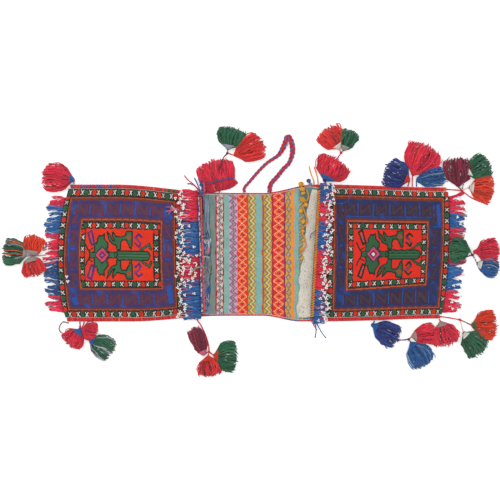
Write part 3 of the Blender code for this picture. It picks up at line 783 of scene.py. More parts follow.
def braided(route, width, pitch, colours):
    # three strands plaited flat along a route
    side, up, travelled = routeFrames(route)
    width = np.broadcast_to(width, len(route))
    radius = width * 0.22
    strands = []
    for i in range(3):
        turn = 2 * math.pi * (travelled / pitch + i / 3)
        points = route + side * (np.sin(turn) * (width / 2 - radius))[:, None]
        points += up * (np.sin(2 * turn) * radius * 0.5)[:, None]
        strands.append((points, radius, colours[i]))
    return strands


def ball(centre, radius, colour, yarn=0.0012):
    # a knot, as yarn wound round itself
    t = np.linspace(0, 1, 44)
    polar, turn = math.pi * t, 2 * math.pi * 5 * t + rng.uniform(0, 6)
    shape = np.stack([np.sin(polar) * np.cos(turn), np.sin(polar) * np.sin(turn), np.cos(polar)], 1)
    tilt = np.array(Matrix.Rotation(rng.uniform(0.4, 1.2), 3, Vector((rng.uniform(-1, 1), rng.uniform(-1, 1), 0.1))))
    return (np.asarray(centre) + shape @ tilt.T * (radius - yarn), yarn, colour)


def yarnMesh(name, strands):
    # one mesh of many strands, each a tube with its own thickness and colour along it
    curve = bpy.data.curves.new(name, "CURVE")
    curve.dimensions = "3D"
    curve.bevel_depth = 1.0
    curve.bevel_resolution = 0
    tints = []
    for points, radius, colour in strands:
        count = len(points)
        points = np.array(points)
        points[:, 2] = np.maximum(points[:, 2], np.asarray(radius) * 0.75)
        spline = curve.splines.new("POLY")
        spline.points.add(count - 1)
        line = np.ones((count, 4), np.float32)
        line[:, :3] = points
        spline.points.foreach_set("co", line.ravel())
        spline.points.foreach_set("radius", np.array(np.broadcast_to(radius, count), np.float32))
        tints.append(np.repeat(np.broadcast_to(colour, (count, 3)), 4, axis=0))
    holder = bpy.data.objects.new(name, curve)
    bpy.context.scene.collection.objects.link(holder)
    view = bpy.context.evaluated_depsgraph_get()
    mesh = bpy.data.meshes.new_from_object(holder.evaluated_get(view))
    bpy.data.objects.remove(holder)
    bpy.data.curves.remove(curve)
    shape = bmesh.new()
    shape.from_mesh(mesh)
    bmesh.ops.holes_fill(shape, edges=[e for e in shape.edges if e.is_boundary], sides=4)
    if shape.calc_volume(signed=True) < 0:
        bmesh.ops.reverse_faces(shape, faces=shape.faces)
    shape.to_mesh(mesh)
    shape.free()
    tints = np.clip(np.concatenate(tints), 0, 1)
    layer = mesh.color_attributes.new("yarn", "FLOAT_COLOR", "POINT")
    rgba = np.ones((len(mesh.vertices), 4), np.float32)
    rgba[:, :3] = tints
    layer.data.foreach_set("color", rgba.ravel())
    mesh.shade_smooth()
    return mesh


def nodeName(name):
    # the CAD node that a piece stands for has the same name in its own spelling
    return "".join("_" + letter.lower() if letter.isupper() else letter for letter in name)


def yarnPiece(name, strands, slotName, node=None):
    return finishPiece(linkObject(name, yarnMesh(name, strands), yarnWool), slotName, node or nodeName(name))


def varied(colour, spread):
    return np.clip(colour * rng.normal(1, spread, (1, 1)), 0.004, 0.95)


def at(x, y, z):
    return np.array([x, y, z])


def beside(anchor, dx, dy, z=0.0):
    return at(anchor[0] + dx * mm, anchor[1] + dy * mm, z * mm)


def above(x, out=0.0):
    return at(x, float(topEdge(x)) + out * mm, 0)


def below(x, out=0.0):
    return at(x, float(bottomEdge(x)) - out * mm, 0)


def unit(vector):
    return vector / np.linalg.norm(vector)


def clothPoint(px, py, z=0.0):
    # a point over a place of the painted pattern, z in mm
    return at(planeX(px), planeY(py), z * mm)


def twist(points, diameter, pitch, colours):
    return plied(smoothRoute(points, 0.003), diameter, pitch, colours)


lie = 2.9  # a free cord's middle above the floor, in mm
hubSize = 0.0049
hubRaise = at(0, 0, hubSize)


# Cords that lie free


def cordPiece(name, points, settings, slotName):
    diameter = settings["diameter"]
    route = smoothRoute(points, diameter * 0.4)
    if settings.get("braid"):
        width = np.interp(np.linspace(0, 1, len(route)), *settings["braid"])
        strands = braided(route, width, settings["pitch"], settings["colours"])
    else:
        strands = plied(route, diameter, settings["pitch"], settings["colours"])
    if settings["farEnd"] == "knot":
        strands.append(ball(points[-1], knotSize, settings["colours"][0]))
    obj = yarnPiece(name, strands, slotName)


tasselCord, tasselPly, knotSize = 0.005, 0.011, 0.0045
leftMiddle = at(float(outerEnd(-1, 0)), 0, 0)
rightMiddle = at(float(outerEnd(1, 0)), 0, 0)
topCorner = at(float(outerEnd(1, 1)), float(topEdge(rightEnd)), 0)
lowCorner = at(float(outerEnd(1, -1)), float(bottomEdge(rightEnd)), 0)
lowMiddle = below(leftMouth - 0.020)
topMiddle = above(leftMouth + 0.049)
topRight = above(rightMouth + 0.035)
lowRight = below(rightEnd - 0.212)
lowLeft = below(leftEnd + 0.039)
topLeft = above(leftEnd + 0.021)
farRight = above(rightEnd - 0.1015)
hubs = {
    "leftEnd": beside(leftMiddle, -82, -9),
    "lowLeft": beside(lowLeft, 1, -16),
    "lowMiddle": beside(lowMiddle, 39, -104),
    "topMiddle": beside(topMiddle, 25, 118),
    "topRight": beside(topRight, 45, 94),
    "corner": beside(topCorner, 40, -10),
    "rightEnd": beside(rightMiddle, 73, -6),
    "lowRight": beside(lowRight, 103, -56),
    "lowCorner": beside(lowCorner, 54, -3),
}


def spoke(hub, anchor, neck):
    return hub + unit(beside(anchor, *neck) - hub) * hubSize


def makeCords():
    free = {"diameter": tasselCord, "pitch": tasselPly, "farEnd": "knot"}
    lowStart = below(lowMiddle[0] + 4 * mm, 0.8) + at(0, 0, lie * mm)
    for place, anchor, start, points, first, second, slotName in (
        ("leftEnd", leftMiddle, None, ((-38, -6, 10.2), (-50, -7, 9.1), (-66, -8, 5.5)), "grey", "lilac", "grey_yarn"),
        ("lowMiddle", lowMiddle, lowStart, ((5, -10, lie), (16, -26, lie), (30, -57, lie), (38, -85, lie)),
         "red", "crimson", "red_yarn"),
        ("topMiddle", topMiddle, None, ((-3, 64, 17.6), (5, 82, 17.0), (13, 103, 12.5), (19, 111, 5.5)),
         "maroon", "guardBrown", "maroon_yarn"),
        ("corner", topCorner, None, ((0.6 - 6.5, -6.5, lie), (20, -8, lie)), "crimson", "red", "crimson_yarn"),
        ("rightEnd", rightMiddle, None, ((38, -14, 10.8), (50, -13, 9.7), (62, -9, 6.5)),
         "maroon", "purpleYarn", "maroon_yarn"),
        ("lowRight", lowRight, None, ((68.5, -54.3, 6), (76, -58, 5), (88, -58, 5)),
         "maroon", "purpleYarn", "maroon_yarn"),
        ("lowCorner", lowCorner, None, ((0.6 - 6.5, 6.5, lie), (20, 3, lie)), "crimson", "red", "crimson_yarn"),
    ):
        route = [] if start is None else [start]
        route += [*(beside(anchor, *p) for p in points), hubs[place] + hubRaise]
        cordPiece(place + "Cord", route, {**free, "colours": (dye[first], dye[second])}, slotName)

    route = [spoke(hubs["corner"], topCorner, (72, -33)) + hubRaise]
    route += [beside(topCorner, *p, lie) for p in ((72, -33), (98, -44), (120, -53))]
    settings = {**free, "colours": (dye["crimson"], dye["red"]), "farEnd": "bare"}
    cordPiece("cornerStrand", route, settings, "crimson_yarn")

    foot = above(0)
    handle = [
        (-35, 14), (-18, 34), (6, 62), (30, 86), (51, 101), (69, 114), (84, 140), (95, 168), (107, 149), (109, 118),
        (99, 89), (81, 70), (63, 47), (47, 30), (41, 14),
    ]
    lift = 6.4
    route = [above(-0.035, 0.9) + at(0, 0, lift * mm), *(beside(foot, *p, lift) for p in handle)]
    route.append(above(0.041, 0.9) + at(0, 0, lift * mm))
    violetGrey, darkCrimson = mix(dye["purpleYarn"], dye["grey"], 0.2), mix(dye["crimson"], dye["maroon"], 0.5)
    settings = {"diameter": 0.012, "pitch": 0.036, "farEnd": "object",
                "braid": ((0, 0.36, 0.45, 0.66, 0.72, 1), (0.0105, 0.012, 0.0185, 0.0185, 0.0145, 0.0165)),
                "colours": (dye["red"] * 0.85, violetGrey, darkCrimson)}
    cordPiece("handleLoop", route, settings, "red_yarn")

    knots = 8

    def closurePoint(i):
        v = 0.96 - 0.96 * i / knots
        x = float(mouthAt(1, v)) - 0.0336 + 0.008 * math.sin(2.1 * i)
        return rowPoint(np.float64(x), v, 0.0083)

    settings = {"diameter": 0.005, "pitch": 0.013, "colours": (dye["yellow"], dye["apricot"]), "farEnd": "bare"}
    cordPiece("closureLoops", [closurePoint(i) for i in range(knots + 1)], settings, "yellow_yarn")

    tieX = rightMouth - 0.030
    settings = {"diameter": 0.005, "pitch": 0.014, "colours": (dye["yellow"] * 1.15, dye["apricot"]), "farEnd": "bare"}
    for name, foot, points in (
        ("leftTie", 29, ((28, 14), (20, 33), (14, 57))),
        ("rightTie", 41, ((40, 16), (36, 34), (29, 55))),
    ):
        start = above(tieX + foot * mm, 0.6) + at(0, 0, lie * mm)
        cordPiece(name, [start, *(beside(above(tieX), *p, lie) for p in points)], settings, "yellow_yarn")

    for name, node, hub, start, first, second, slotName in (
        ("lowLeftKnot", "low_left_cord", "lowLeft", below(lowLeft[0], 0.6) + at(0, 0, lie * mm),
         "royal", "orange", "blue_yarn"),
        ("topRightKnot", "top_right_cord", "topRight", beside(topRight, 31.3, 73.6, 6),
         "purpleYarn", "crimson", "maroon_yarn"),
    ):
        route = smoothRoute([start, hubs[hub] + hubRaise], 0.002)
        strands = plied(route, tasselCord, tasselPly, (dye[first], dye[second]))
        strands.append(ball(hubs[hub] + hubRaise, knotSize, dye[second]))
        yarnPiece(name, strands, slotName, node)


makeCords()
print("cords laid")


# Tassels

ringReach = (0, 0.1, 0.24, 0.55, 0.86, 1)
ringTall = (0.5, 0.75, 0.85, 1, 0.9, 0.6)


def tasselPiece(name, slotName, anchor, hang, neck, tip, half, shades, tie, shape):
    # a bunch of loose strands from a wrapped neck, a little fuller than the solid
    settings = {"low": gap, "height": 0.020, "base": 0.005, "count": int(60 + half * 1.7),
                "fuller": 1 + min(0.34, 10.5 / half), "yarn": 0.0015, "back": 0.007, "longer": 0.009,
                "wild": 0.16, "wrap": 0.012, "wrapTurns": 5, **shape}
    low, height, base, count, fuller, yarn = (
        settings[key] for key in ("low", "height", "base", "count", "fuller", "yarn"))
    half = half * mm
    start = beside(anchor, *neck)
    along = beside(anchor, *tip) - start
    start, along = start - unit(along) * settings["back"], along + unit(along) * settings["longer"]
    side = unit(at(-along[1], along[0], 0))
    wides = (0.9 * base, 1.9 * base, mix(base, half, 0.68), mix(base, half, 0.97), half, 0.84 * half)
    steps = np.array([0, 0.06, 0.16, 0.3, 0.46, 0.62, 0.78, 0.9, 1.0])
    strands = []
    weights = np.array([w for c, w in shades], float)
    picks = rng.choice(len(shades), count, p=weights / weights.sum())
    for k in range(count):
        s = rng.uniform(-1, 1)
        h = rng.uniform(-0.95, 1) * math.sqrt(max(1 - s * s, 0.02))
        reach = 1.02 - 0.12 * s * s + rng.uniform(-0.11, 0.03)
        wild = rng.uniform() < settings["wild"]
        reach += rng.uniform(0, 0.09) * wild
        t = steps * reach
        wide = np.interp(t, ringReach, wides) * mix(1, fuller, smooth(t * 5)) - yarn
        high = np.maximum(np.interp(t, ringReach, ringTall) * height / 2 - yarn, 0.0003)
        centreHigh = low + np.interp(t, ringReach, ringTall) * height / 2
        sway = (0.0026 + 0.003 * wild) * np.sin(t * rng.uniform(3, 12) + rng.uniform(0, 6)) * smooth(t * 3)
        aside = np.clip(s + 0.05 * np.sin(t * 5 + k), -1, 1) * wide + sway
        points = start + along * t[:, None] + side * aside[:, None]
        points[:, 2] = centreHigh + h * high
        points[:, 2] += 0.0010 * np.sin(t * rng.uniform(6, 14) + k)
        points[:, 2] = np.maximum(points[:, 2], low + yarn * 0.8)
        radius = yarn * np.interp(t / reach, (0, 0.2, 0.9, 1), (0.85, 1.0, 1.0, 0.6)) * rng.uniform(0.8, 1.2)
        colour = varied(shades[picks[k]][0], 0.2)
        # each strand is painted darker near the neck, as shade where the bunch is packed under the wrap, and a little
        # lighter towards its tip as painted light
        shade = np.interp(t / reach, (0, 0.15, 0.6, 1), (0.7, 0.85, 1.05, 1.08)) * (1 + 0.1 * np.sin(t * 23 + k))
        strands.append((points, radius, colour * shade[:, None]))
    if "band" in shape:
        # a tie laid right across a wide bunch, with a knot at its first end
        s = np.linspace(1, -1, 40)
        wide = np.interp(shape["band"], ringReach, wides) * fuller
        tall = np.interp(shape["band"], ringReach, ringTall) * height
        route = start + along * shape["band"] + side * (s * wide)[:, None]
        route[:, 2] = low + tall / 2 * (1 + np.sqrt(1 - s * s)) + 0.0012
        route[:, 1] += 0.0012 * np.sin(s * 9)
        strands += plied(route, 0.0042, 0.009, (tie, tie * 0.7))
        strands.append(ball(route[0] + at(0, 0, 0.003), 0.0065, tie, 0.0016))
    else:
        # the wrap at the neck
        a = np.linspace(0, 2 * math.pi * settings["wrapTurns"], 50)
        t = np.linspace(0.03, 0.03 + settings["wrap"] / np.linalg.norm(along), 50)
        wide = np.interp(t, ringReach, wides) * 1.04 + 0.0006
        high = np.interp(t, ringReach, ringTall) * height / 2
        wrap = start + along * t[:, None] + side * (np.cos(a) * wide)[:, None]
        wrap[:, 2] = np.maximum(low + high + np.sin(a) * high * 1.05, low + 0.0009)
        strands.append((wrap, 0.0014, tie))
    # the tail from the edge or the knot
    tailStart, tailEnd = hang + hubRaise, start + at(0, 0, low + height / 4)
    if np.linalg.norm(tailEnd - tailStart) > 0.003:
        route = smoothRoute([tailStart, tailEnd], 0.0016)
        tail = dye[shape["tail"]] if "tail" in shape else shades[0][0]
        strands += plied(route, 0.0048, 0.010, (tail, tie))
    if "knot" in shape:
        strands.append(ball(start + at(0, 0, low + height * 0.35), 0.0075, dye[shape["knot"]], 0.0018))
    yarnPiece(name, strands, slotName)


def fromEdge(anchor, dx, neck):
    up = 1 if anchor[1] > 0 else -1
    x = anchor[0] + dx * mm
    edge = above(x) if up > 0 else below(x)
    out = unit(beside(anchor, *neck) - edge)
    return edge + at(0, up * (gap + 0.002 * abs(out[0])), 0)


def makeTassels():
    bunches = {name: [(dye[colour] * share, parts) for colour, share, parts in mixed] for name, mixed in {
        "crimson": (("crimson", 1, 8), ("crimson", 0.75, 2), ("red", 1, 1)),
        "red": (("red", 1, 8), ("red", 0.75, 2)),
        "orange": (("orange", 1, 8), ("orange", 0.8, 2)),
        "green": (("green", 1, 8), ("green", 0.7, 2), ("leaf", 1, 2)),
        "blue": (("royal", 1, 8), ("royal", 0.7, 2), ("dustyBlue", 1, 1)),
        "navy": (("navy", 1, 8), ("navy", 0.7, 3), ("royal", 1, 1)),
        "maroon": (("maroon", 1, 8), ("maroon", 0.7, 2), ("crimson", 0.6, 1)),
    }.items()}
    onFringe = max((float(faceMiddle(1.0, 0.0)) + weave / 2 - endTall - endRise) / 2, gap) + endRise + endTall + gap
    # neck and tip are in mm from the anchor, and half is half the width of the bunch;
    # a tassel with dx hangs from the edge, and the others from their group's knot
    for place, anchor, tassels in (
        ("leftEnd", leftMiddle, (
            ("green", (-99, -3), (-165, 6), 31, "grey", {"knot": "lilac", "more": (("guard", 2), ("lilac", 1))}),
            ("orange", (-79, 1), (-70, 48), 24, "grey", {"base": 0.009}),
            ("crimson", (-83, -20), (-69, -66), 27, "grey", {"base": 0.009, "bunch": "red"}),
        )),
        ("topLeft", topLeft, (
            ("crimson", (-5, 14), (-90, 24), 33, "royal", {"dx": 0, "tail": "grey"}),
        )),
        ("lowLeft", lowLeft, (
            ("crimson", (-3, -30), (-30, -68), 27, "royal", {"knot": "royal"}),
            ("green", (36, -58), (96, -88), 28, "royal", {"more": (("lilac", 2),)}),
            ("small", (13, -24), (50, -33), 22, "crimson", {"dx": 13}),
        )),
        ("lowMiddle", lowMiddle, (
            ("maroon", (22, -107), (-5, -34), 17, "pink", {}),
            ("red", (37, -123), (45, -173), 27, "orange", {"more": (("maroon", 2),)}),
            ("green", (60, -115), (120, -118), 36, "orange", {}),
        )),
        ("topMiddle", topMiddle, (
            ("crimson", (2, 12), (-16, 92), 54, "royal",
             {"dx": 0, "base": 0.032, "height": 0.015, "count": 230, "band": 0.33, "fuller": 1.04}),
            ("green", (28, 136), (41, 192), 33, "lilac", {}),
            ("red", (52, 114), (129, 148), 31, "orange", {}),
        )),
        ("topRight", topRight, (
            ("crimson", (0, 19), (31, 73), 42, "royal", {"dx": 0, "base": 0.010, "knot": "navy"}),
            ("red", (36, 112), (0, 163), 30, "white", {}),
            ("green", (55, 108), (75, 160), 20, "grey", {}),
        )),
        ("farRight", farRight, (
            ("navy", (-11, 21), (-75, 49), 34, "orange", {"dx": -10}),
            ("crimson", (7, 40), (48, 119), 45, "red", {"dx": 3, "count": 170}),
            ("blue", (22, 20), (99, 32), 22, "royal", {"dx": 16}),
        )),
        ("corner", topCorner, (
            ("maroon", (30, 8), (29, 84), 35, "maroon", {}),
            ("green", (60, 43), (120, 73), 29, "white", {"tail": "royal"}),
            ("orange", (69, -1), (132, -10), 32, "white", {"tail": "white"}),
        )),
        ("rightEnd", rightMiddle, (
            ("green", (57, 8), (5, 12), 28, "green", {"low": onFringe}),
            ("crimson", (88, 4), (150, 8), 28, "crimson", {"knot": "crimson"}),
            ("blue", (93, -34), (147, -51), 20, "white", {}),
        )),
        ("lowRight", lowRight, (
            ("navy", (2, -17), (68, -54), 28, "royal", {"dx": 0, "knot": "royal"}),
            ("crimson", (119, -46), (182, -38), 24, "grey", {}),
            ("blue", (113, -71), (152, -132), 30, "royal", {}),
        )),
        ("lowCorner", lowCorner, (
            ("crimson", (-2, -15), (17, -76), 31, "grey", {"dx": -8}),
            ("orange", (95, -19), (160, -19), 34, "leaf", {}),
            ("green", (69, -46), (118, -97), 29, "white", {"tail": "white"}),
        )),
    ):
        for kind, neck, tip, half, tie, shape in tassels:
            yarn = "crimson" if kind == "small" else kind
            more = [(dye[name], parts) for name, parts in shape.get("more", ())]
            shades = bunches[shape.get("bunch", yarn)] + more
            hang = fromEdge(anchor, shape["dx"], neck) if "dx" in shape else spoke(hubs[place], anchor, neck)
            name = place + kind.capitalize() + "Tassel"
            tasselPiece(name, yarn + "_yarn", anchor, hang, neck, tip, half, shades, dye[tie], shape)


makeTassels()
print("tassels tied")


# Fringes and beads


def fringeStrands(under, length, low, high, bands, settings):
    # layers of yarn ends, drawn together into tufts of uneven length
    strands = []
    tops = [planeY(py) for py, name in bands]
    yarn, layers, tuft = settings["yarn"], settings["layers"], settings["tuft"]
    tufts = int((high - low) / tuft) + 3
    tuftLong, tuftDrift = rng.uniform(settings["shortest"], 1.04, tufts), rng.normal(0, 1, tufts)
    for layer in range(layers):
        places = np.arange(low + 0.001, high - 0.001, settings["pitch"])
        for y in places:
            y = y + rng.uniform(-1, 1) * settings["pitch"]
            marked = y + rng.normal(0, 0.004)
            index = sum(marked < top for top in tops) - 1
            colour = dye[bands[max(index, 0)][1]]
            which = int((y + 0.3 * tuft * math.sin(y * 55) - low) / tuft) + 1
            middle = low + (which - 0.5) * tuft
            end = tuftLong[which] * (rng.uniform(0.86, 1.0) if rng.uniform() < 0.8 else rng.uniform(0.55, 0.86))
            reach = np.linspace(0, 1, 9) * length * end
            share = reach / length
            curl = settings["curl"] * np.sin(share * rng.uniform(3, 12) + rng.uniform(0, 6)) * smooth(share * 4)
            drift = settings["drift"] * (0.5 * rng.normal() + tuftDrift[which]) * share ** 1.5
            gather = (middle - y) * settings["gather"] * smooth(share * 1.6)
            ys = y + drift + curl + gather
            root = under(ys, reach)
            raised = (layer + rng.uniform(0.2, 1)) / layers * smooth(0.25 + share * 2)
            root[:, 2] += yarn + (settings["depth"] - 2 * yarn) * raised
            root[:, 2] += 0.0006 * np.sin(share * 17 + y * 900)
            radius = yarn * rng.uniform(0.8, 1.2) * np.interp(share / end, (0, 0.9, 1), (1, 1, 0.5))
            # the lower layers are painted darker, as shade under the upper ones, and the top layer lighter, as painted
            # light; some strands have a paler mixed-in yarn
            tint = np.repeat(varied(colour, 0.22), 9, 0) * (0.6, 0.9, 1.15)[layer]
            if rng.uniform() < 0.1:
                tint = mix(tint, dye["pink" if index % 2 == 0 else "dustyBlue"], 0.5)
            if rng.uniform() < settings["pale"]:
                tint[6:] = mix(tint[6:], dye["dustyBlue"], 0.7)
            # each strand is painted darker at its root, as shade where the strands are packed, and a little lighter at
            # its end
            strands.append((root, radius, tint * np.interp(share, (0, 0.3, 1), (0.8, 1, 1.05))[:, None]))
    return strands


leftLength, rightLength, endLength = 0.066, 0.043, 0.056


def mouthUnder(side, cordAside):
    mouth = leftMouth if side < 0 else rightMouth

    def under(ys, reach):
        x = mouthAt(side, across(mouth, ys)) + side * (cordAside + 2 * gap + reach)
        return np.stack([x, ys, faceTop(side, x, ys) + gap], -1)

    return under


def endUnder(side):
    corner = leftEnd if side < 0 else rightEnd

    def under(ys, reach):
        v = across(corner, ys)
        fall = smooth(reach / endLength)
        root = np.maximum((faceMiddle(1.0, v) + weave / 2 - endTall - endRise) / 2, gap)
        x = outerEnd(side, v) + side * (gap + reach)
        return np.stack([x, ys, mix(root, gap, fall)], -1)

    return under


def beadMesh(name, centres, size):
    # copies of one small ball, each with its own turn, size and place
    shape = bmesh.new()
    bmesh.ops.create_uvsphere(shape, u_segments=8, v_segments=5, radius=1)
    one = bpy.data.meshes.new(name + "One")
    shape.to_mesh(one)
    shape.free()
    holder = linkObject(name + "One", one, beadGlass)
    copies = holder.modifiers.new("copies", "ARRAY")
    copies.count = len(centres)
    copies.use_relative_offset = False
    view = bpy.context.evaluated_depsgraph_get()
    mesh = bpy.data.meshes.new_from_object(holder.evaluated_get(view))
    bpy.data.objects.remove(holder)
    points = np.empty(len(mesh.vertices) * 3)
    mesh.vertices.foreach_get("co", points)
    points = points.reshape(len(centres), -1, 3) * (1, 1, 0.8)
    for i, centre in enumerate(centres):
        turn = Matrix.Rotation(rng.uniform(0, 3), 3, "X") @ Matrix.Rotation(rng.uniform(0, 3), 3, "Y")
        points[i] = centre + points[i] @ np.array(turn).T * size * rng.uniform(0.44, 0.55)
    mesh.vertices.foreach_set("co", points.ravel())
    mesh.shade_smooth()
    mesh.update()
    return mesh


def beadPiece(name, centres, size, *nodes):
    finishPiece(linkObject(name, beadMesh(name, centres, size), beadGlass), "white_bead", *nodes)


def besideSpot(angle, size, z):
    # beads of a cluster touch each other round its middle
    return at(math.cos(angle) * size * 0.56, math.sin(angle) * size * 0.56, z)


def beadClusters(under, length, groups, size):
    # three beads together at the end of a loose thread
    centres, threads = [], []
    for count, low, high, nearest, farthest in groups:
        for k in range(count):
            y = low + (high - low) * (k + rng.uniform(0, 1)) / count
            reach = length * rng.uniform(nearest, farthest)
            spot = under(np.array([y]), np.array([reach]))[0] + at(0, 0, 0.0068)
            turn = rng.uniform(0, 6.3)
            for i in range(3 if rng.uniform() < 0.8 else 2):
                angle = turn + 2.1 * i + rng.normal(0, 0.15)
                centres.append(spot + besideSpot(angle, size, size * 0.5))
            start = under(np.array([y - rng.uniform(-6, 6) * mm]), np.array([reach * 0.5]))[0] + at(0, 0, 0.006)
            colour = dye[("crimson", "royal", "pink", "white")[rng.integers(0, 4)]]
            bend = (start + spot) / 2 + at(0, rng.uniform(-3, 3) * mm, 0.001)
            threads.append((smoothRoute([start, bend, spot], 0.006), 0.0006, colour))
    return centres, threads


def topOf(x, y):
    # the surface that threads beside the left mouth lie on
    mouth = mouthAt(-1, across(x, y))
    return mix(faceTop(-1, np.minimum(x, mouth), y) + 0.001, weave + 0.0012, smooth((x - mouth - 0.002) / 0.008))


def looseThreads(boxes):
    # thin threads that wander inside a box of the weave's units
    strands = []
    for count, x0, x1, y0, y1, names in boxes:
        for k in range(count):
            y = rng.uniform(y0, y1) + np.cumsum(rng.normal(0, (y1 - y0) * 0.22, 6))
            x = rng.uniform(x0, x1) + np.cumsum(rng.normal(0, (x1 - x0) * 0.3, 6))
            # each thread turns back at its own edge of the box
            left, right, top, bottom = (x0, x1, y0, y1) + rng.normal(0, 1, 4) * (0.5, 0.9, 2.5, 2.5)
            x = planeX(np.clip(x, left, right)) + rng.normal(0, 0.0008, 6)
            y = planeY(np.clip(y, top, bottom)) + rng.normal(0, 0.0008, 6)
            route = smoothRoute(np.stack([x, y, topOf(x, y)], 1), 0.005)
            route[:, 2] = topOf(route[:, 0], route[:, 1]) + 0.001 * rng.uniform(0, 1.6)
            strands.append((route, 0.0015, varied(dye[names[k % len(names)]], 0.25)))
    return strands


def makeFringes():
    size = 0.0052
    mouthSettings = {"yarn": 0.0015, "layers": 3, "depth": 0.0064, "pitch": 0.0027, "drift": 0.004, "curl": 0.0034,
                     "tuft": 0.011, "gather": 0.35, "shortest": 0.85, "pale": 0.08}
    leftLow, leftHigh, rightLow, rightHigh = (
        float(edge(mouthAt(side, v))) + v * 0.005 for side in (-1, 1) for edge, v in ((bottomEdge, -1), (topEdge, 1)))
    leftUnder, rightUnder = mouthUnder(-1, 0.008), mouthUnder(1, 0.0056)
    leftBands = ((180, "crimson"), (222, "royal"), (255, "crimson"), (280, "royal"))
    rightBands = ((178, "royal"), (204, "crimson"), (222, "royal"), (251, "crimson"), (289, "royal"))
    strands = fringeStrands(leftUnder, leftLength, leftLow, leftHigh, leftBands, mouthSettings)
    groups = ((66, leftLow + 0.004, leftHigh - 0.004, 0.66, 1.08), (16, planeY(282), planeY(254), 0.08, 0.9),
              (10, leftLow, leftHigh, 0.2, 0.7))
    beads, threads = beadClusters(leftUnder, leftLength, groups, size)
    tangles = looseThreads((
        (30, 203, 209.5, 237, 256, ("royal", "white", "tealYarn", "lilac", "dustyBlue", "pink")),
        (7, 204.5, 208, 196, 236, ("dustyBlue",)),
        (9, 203, 209.5, 258, 276, ("grey", "grey", "lilac")),
        (26, 203, 209, 284, 311, ("royal", "dustyBlue", "lilac")),
        (5, 166, 182, 206, 219, ("pink", "lilac")),
    ))
    # a thick grey twist across the mouth
    corners = ((193, 271, 28), (197, 267.5, 30), (203, 267, 30), (207.5, 268.5, 12), (210.5, 273, 6.5))
    tangles += twist([clothPoint(*p) for p in corners], 0.0075, 0.016, (dye["grey"], dye["grey"] * 0.6))
    # thick yarn ends that stand out at the top of the mouth
    for points, colour in (
        (((203, 197), (200, 190), (197, 183), (194.5, 178)), "royal"),
        (((203, 195), (202, 187), (199.5, 181), (198.5, 177.5)), "royal"),
        (((201, 194), (196, 187), (191, 184), (187.5, 184)), "purpleYarn"),
        (((200, 191), (193, 184), (188, 180), (184.5, 175.5)), "crimson"),
        (((204.5, 196), (204, 190), (203.2, 186), (202.5, 183)), "orange"),
        (((205, 192), (204.5, 187), (204, 184), (204, 182)), "pink"),
    ):
        corners = [clothPoint(*p, z) for p, z in zip(points, (24, 20, 12, 5))]
        tangles += twist(corners, 0.0052, 0.012, (dye[colour], dye[colour] * 0.7))
    yarnPiece("leftMouthFringe", strands + threads + tangles, "crimson_yarn")
    beadPiece("leftBeads", beads, size, "left_bead_row")
    strands = fringeStrands(rightUnder, rightLength, rightLow, rightHigh, rightBands, mouthSettings)
    groups = ((84, rightLow + 0.004, rightHigh - 0.004, 0.5, 1.05), (10, rightLow, rightHigh, 0.2, 0.6))
    beads, threads = beadClusters(rightUnder, rightLength, groups, size)
    yarnPiece("rightMouthFringe", strands + threads, "blue_yarn")
    beadPiece("rightBeads", beads, size, "right_bead_row")

    endSettings = {"yarn": 0.0016, "layers": 3, "depth": 0.0064, "pitch": 0.0026, "drift": 0.006, "curl": 0.003,
                   "tuft": 0.017, "gather": 0.55, "shortest": 0.72, "pale": 0.16}
    low, high = -0.86 * pouchHalf, 0.82 * pouchHalf
    leftBands = ((180, "crimson"), (206, "royal"), (232, "crimson"), (260, "deepBlue"), (297, "crimson"))
    rightBands = ((180, "crimson"), (212, "royal"), (229, "crimson"), (264, "royal"), (290, "crimson"))
    leftSettings = {**endSettings, "pitch": 0.0031, "gather": 0.7}
    strands = fringeStrands(endUnder(-1), endLength, low, high, leftBands, leftSettings)
    corners = [clothPoint(px, py, 4) for px, py in ((69, 323), (63, 322), (59.5, 327), (60, 331), (62.5, 333))]
    strands += twist(corners, 0.005, 0.012, (dye["maroon"], dye["grey"]))
    groups = ((5, planeY(252), planeY(238), 0.3, 0.95),)
    beads, threads = beadClusters(endUnder(-1), endLength, groups, size * 0.9)
    # two bead clusters on a blue thread that lies over the pouch
    for px, py in ((67.6, 276.6), (68.6, 281.4)):
        beads += [clothPoint(px, py, 18.5) + besideSpot(turn, size, 0) for turn in (0.5, 2.6, 4.7)]
    corners = ((62, 281, 14.5), (66.5, 279, 18.2), (70, 280, 18.8), (76, 285, 18.8))
    strands += twist([clothPoint(*p) for p in corners], 0.0028, 0.008, (dye["royal"], dye["deepBlue"]))
    yarnPiece("leftEndFringe", strands + threads, "crimson_yarn")
    beadPiece("leftEndBeads", beads, size)
    strands = fringeStrands(endUnder(1), endLength, low, high, rightBands, endSettings)
    groups = ((7, planeY(235), planeY(195), 0.4, 0.95), (9, planeY(309), planeY(270), 0.35, 0.95))
    beads, threads = beadClusters(endUnder(1), endLength, groups, size * 0.9)
    yarnPiece("rightEndFringe", strands + threads, "blue_yarn")
    beadPiece("rightEndBeads", beads, size)


makeFringes()
print("fringes knotted")


# Edge bindings, mouth cords and flap


def wrapRoute(centres, wides, highs, pitch, yarn):
    # a strand wound round an oval core
    turn = 2 * math.pi * routeFrames(centres)[2] / pitch
    points = centres.copy()
    points[:, 1] += np.cos(turn) * (wides - yarn)
    points[:, 2] += np.sin(turn) * (highs - yarn)
    return points


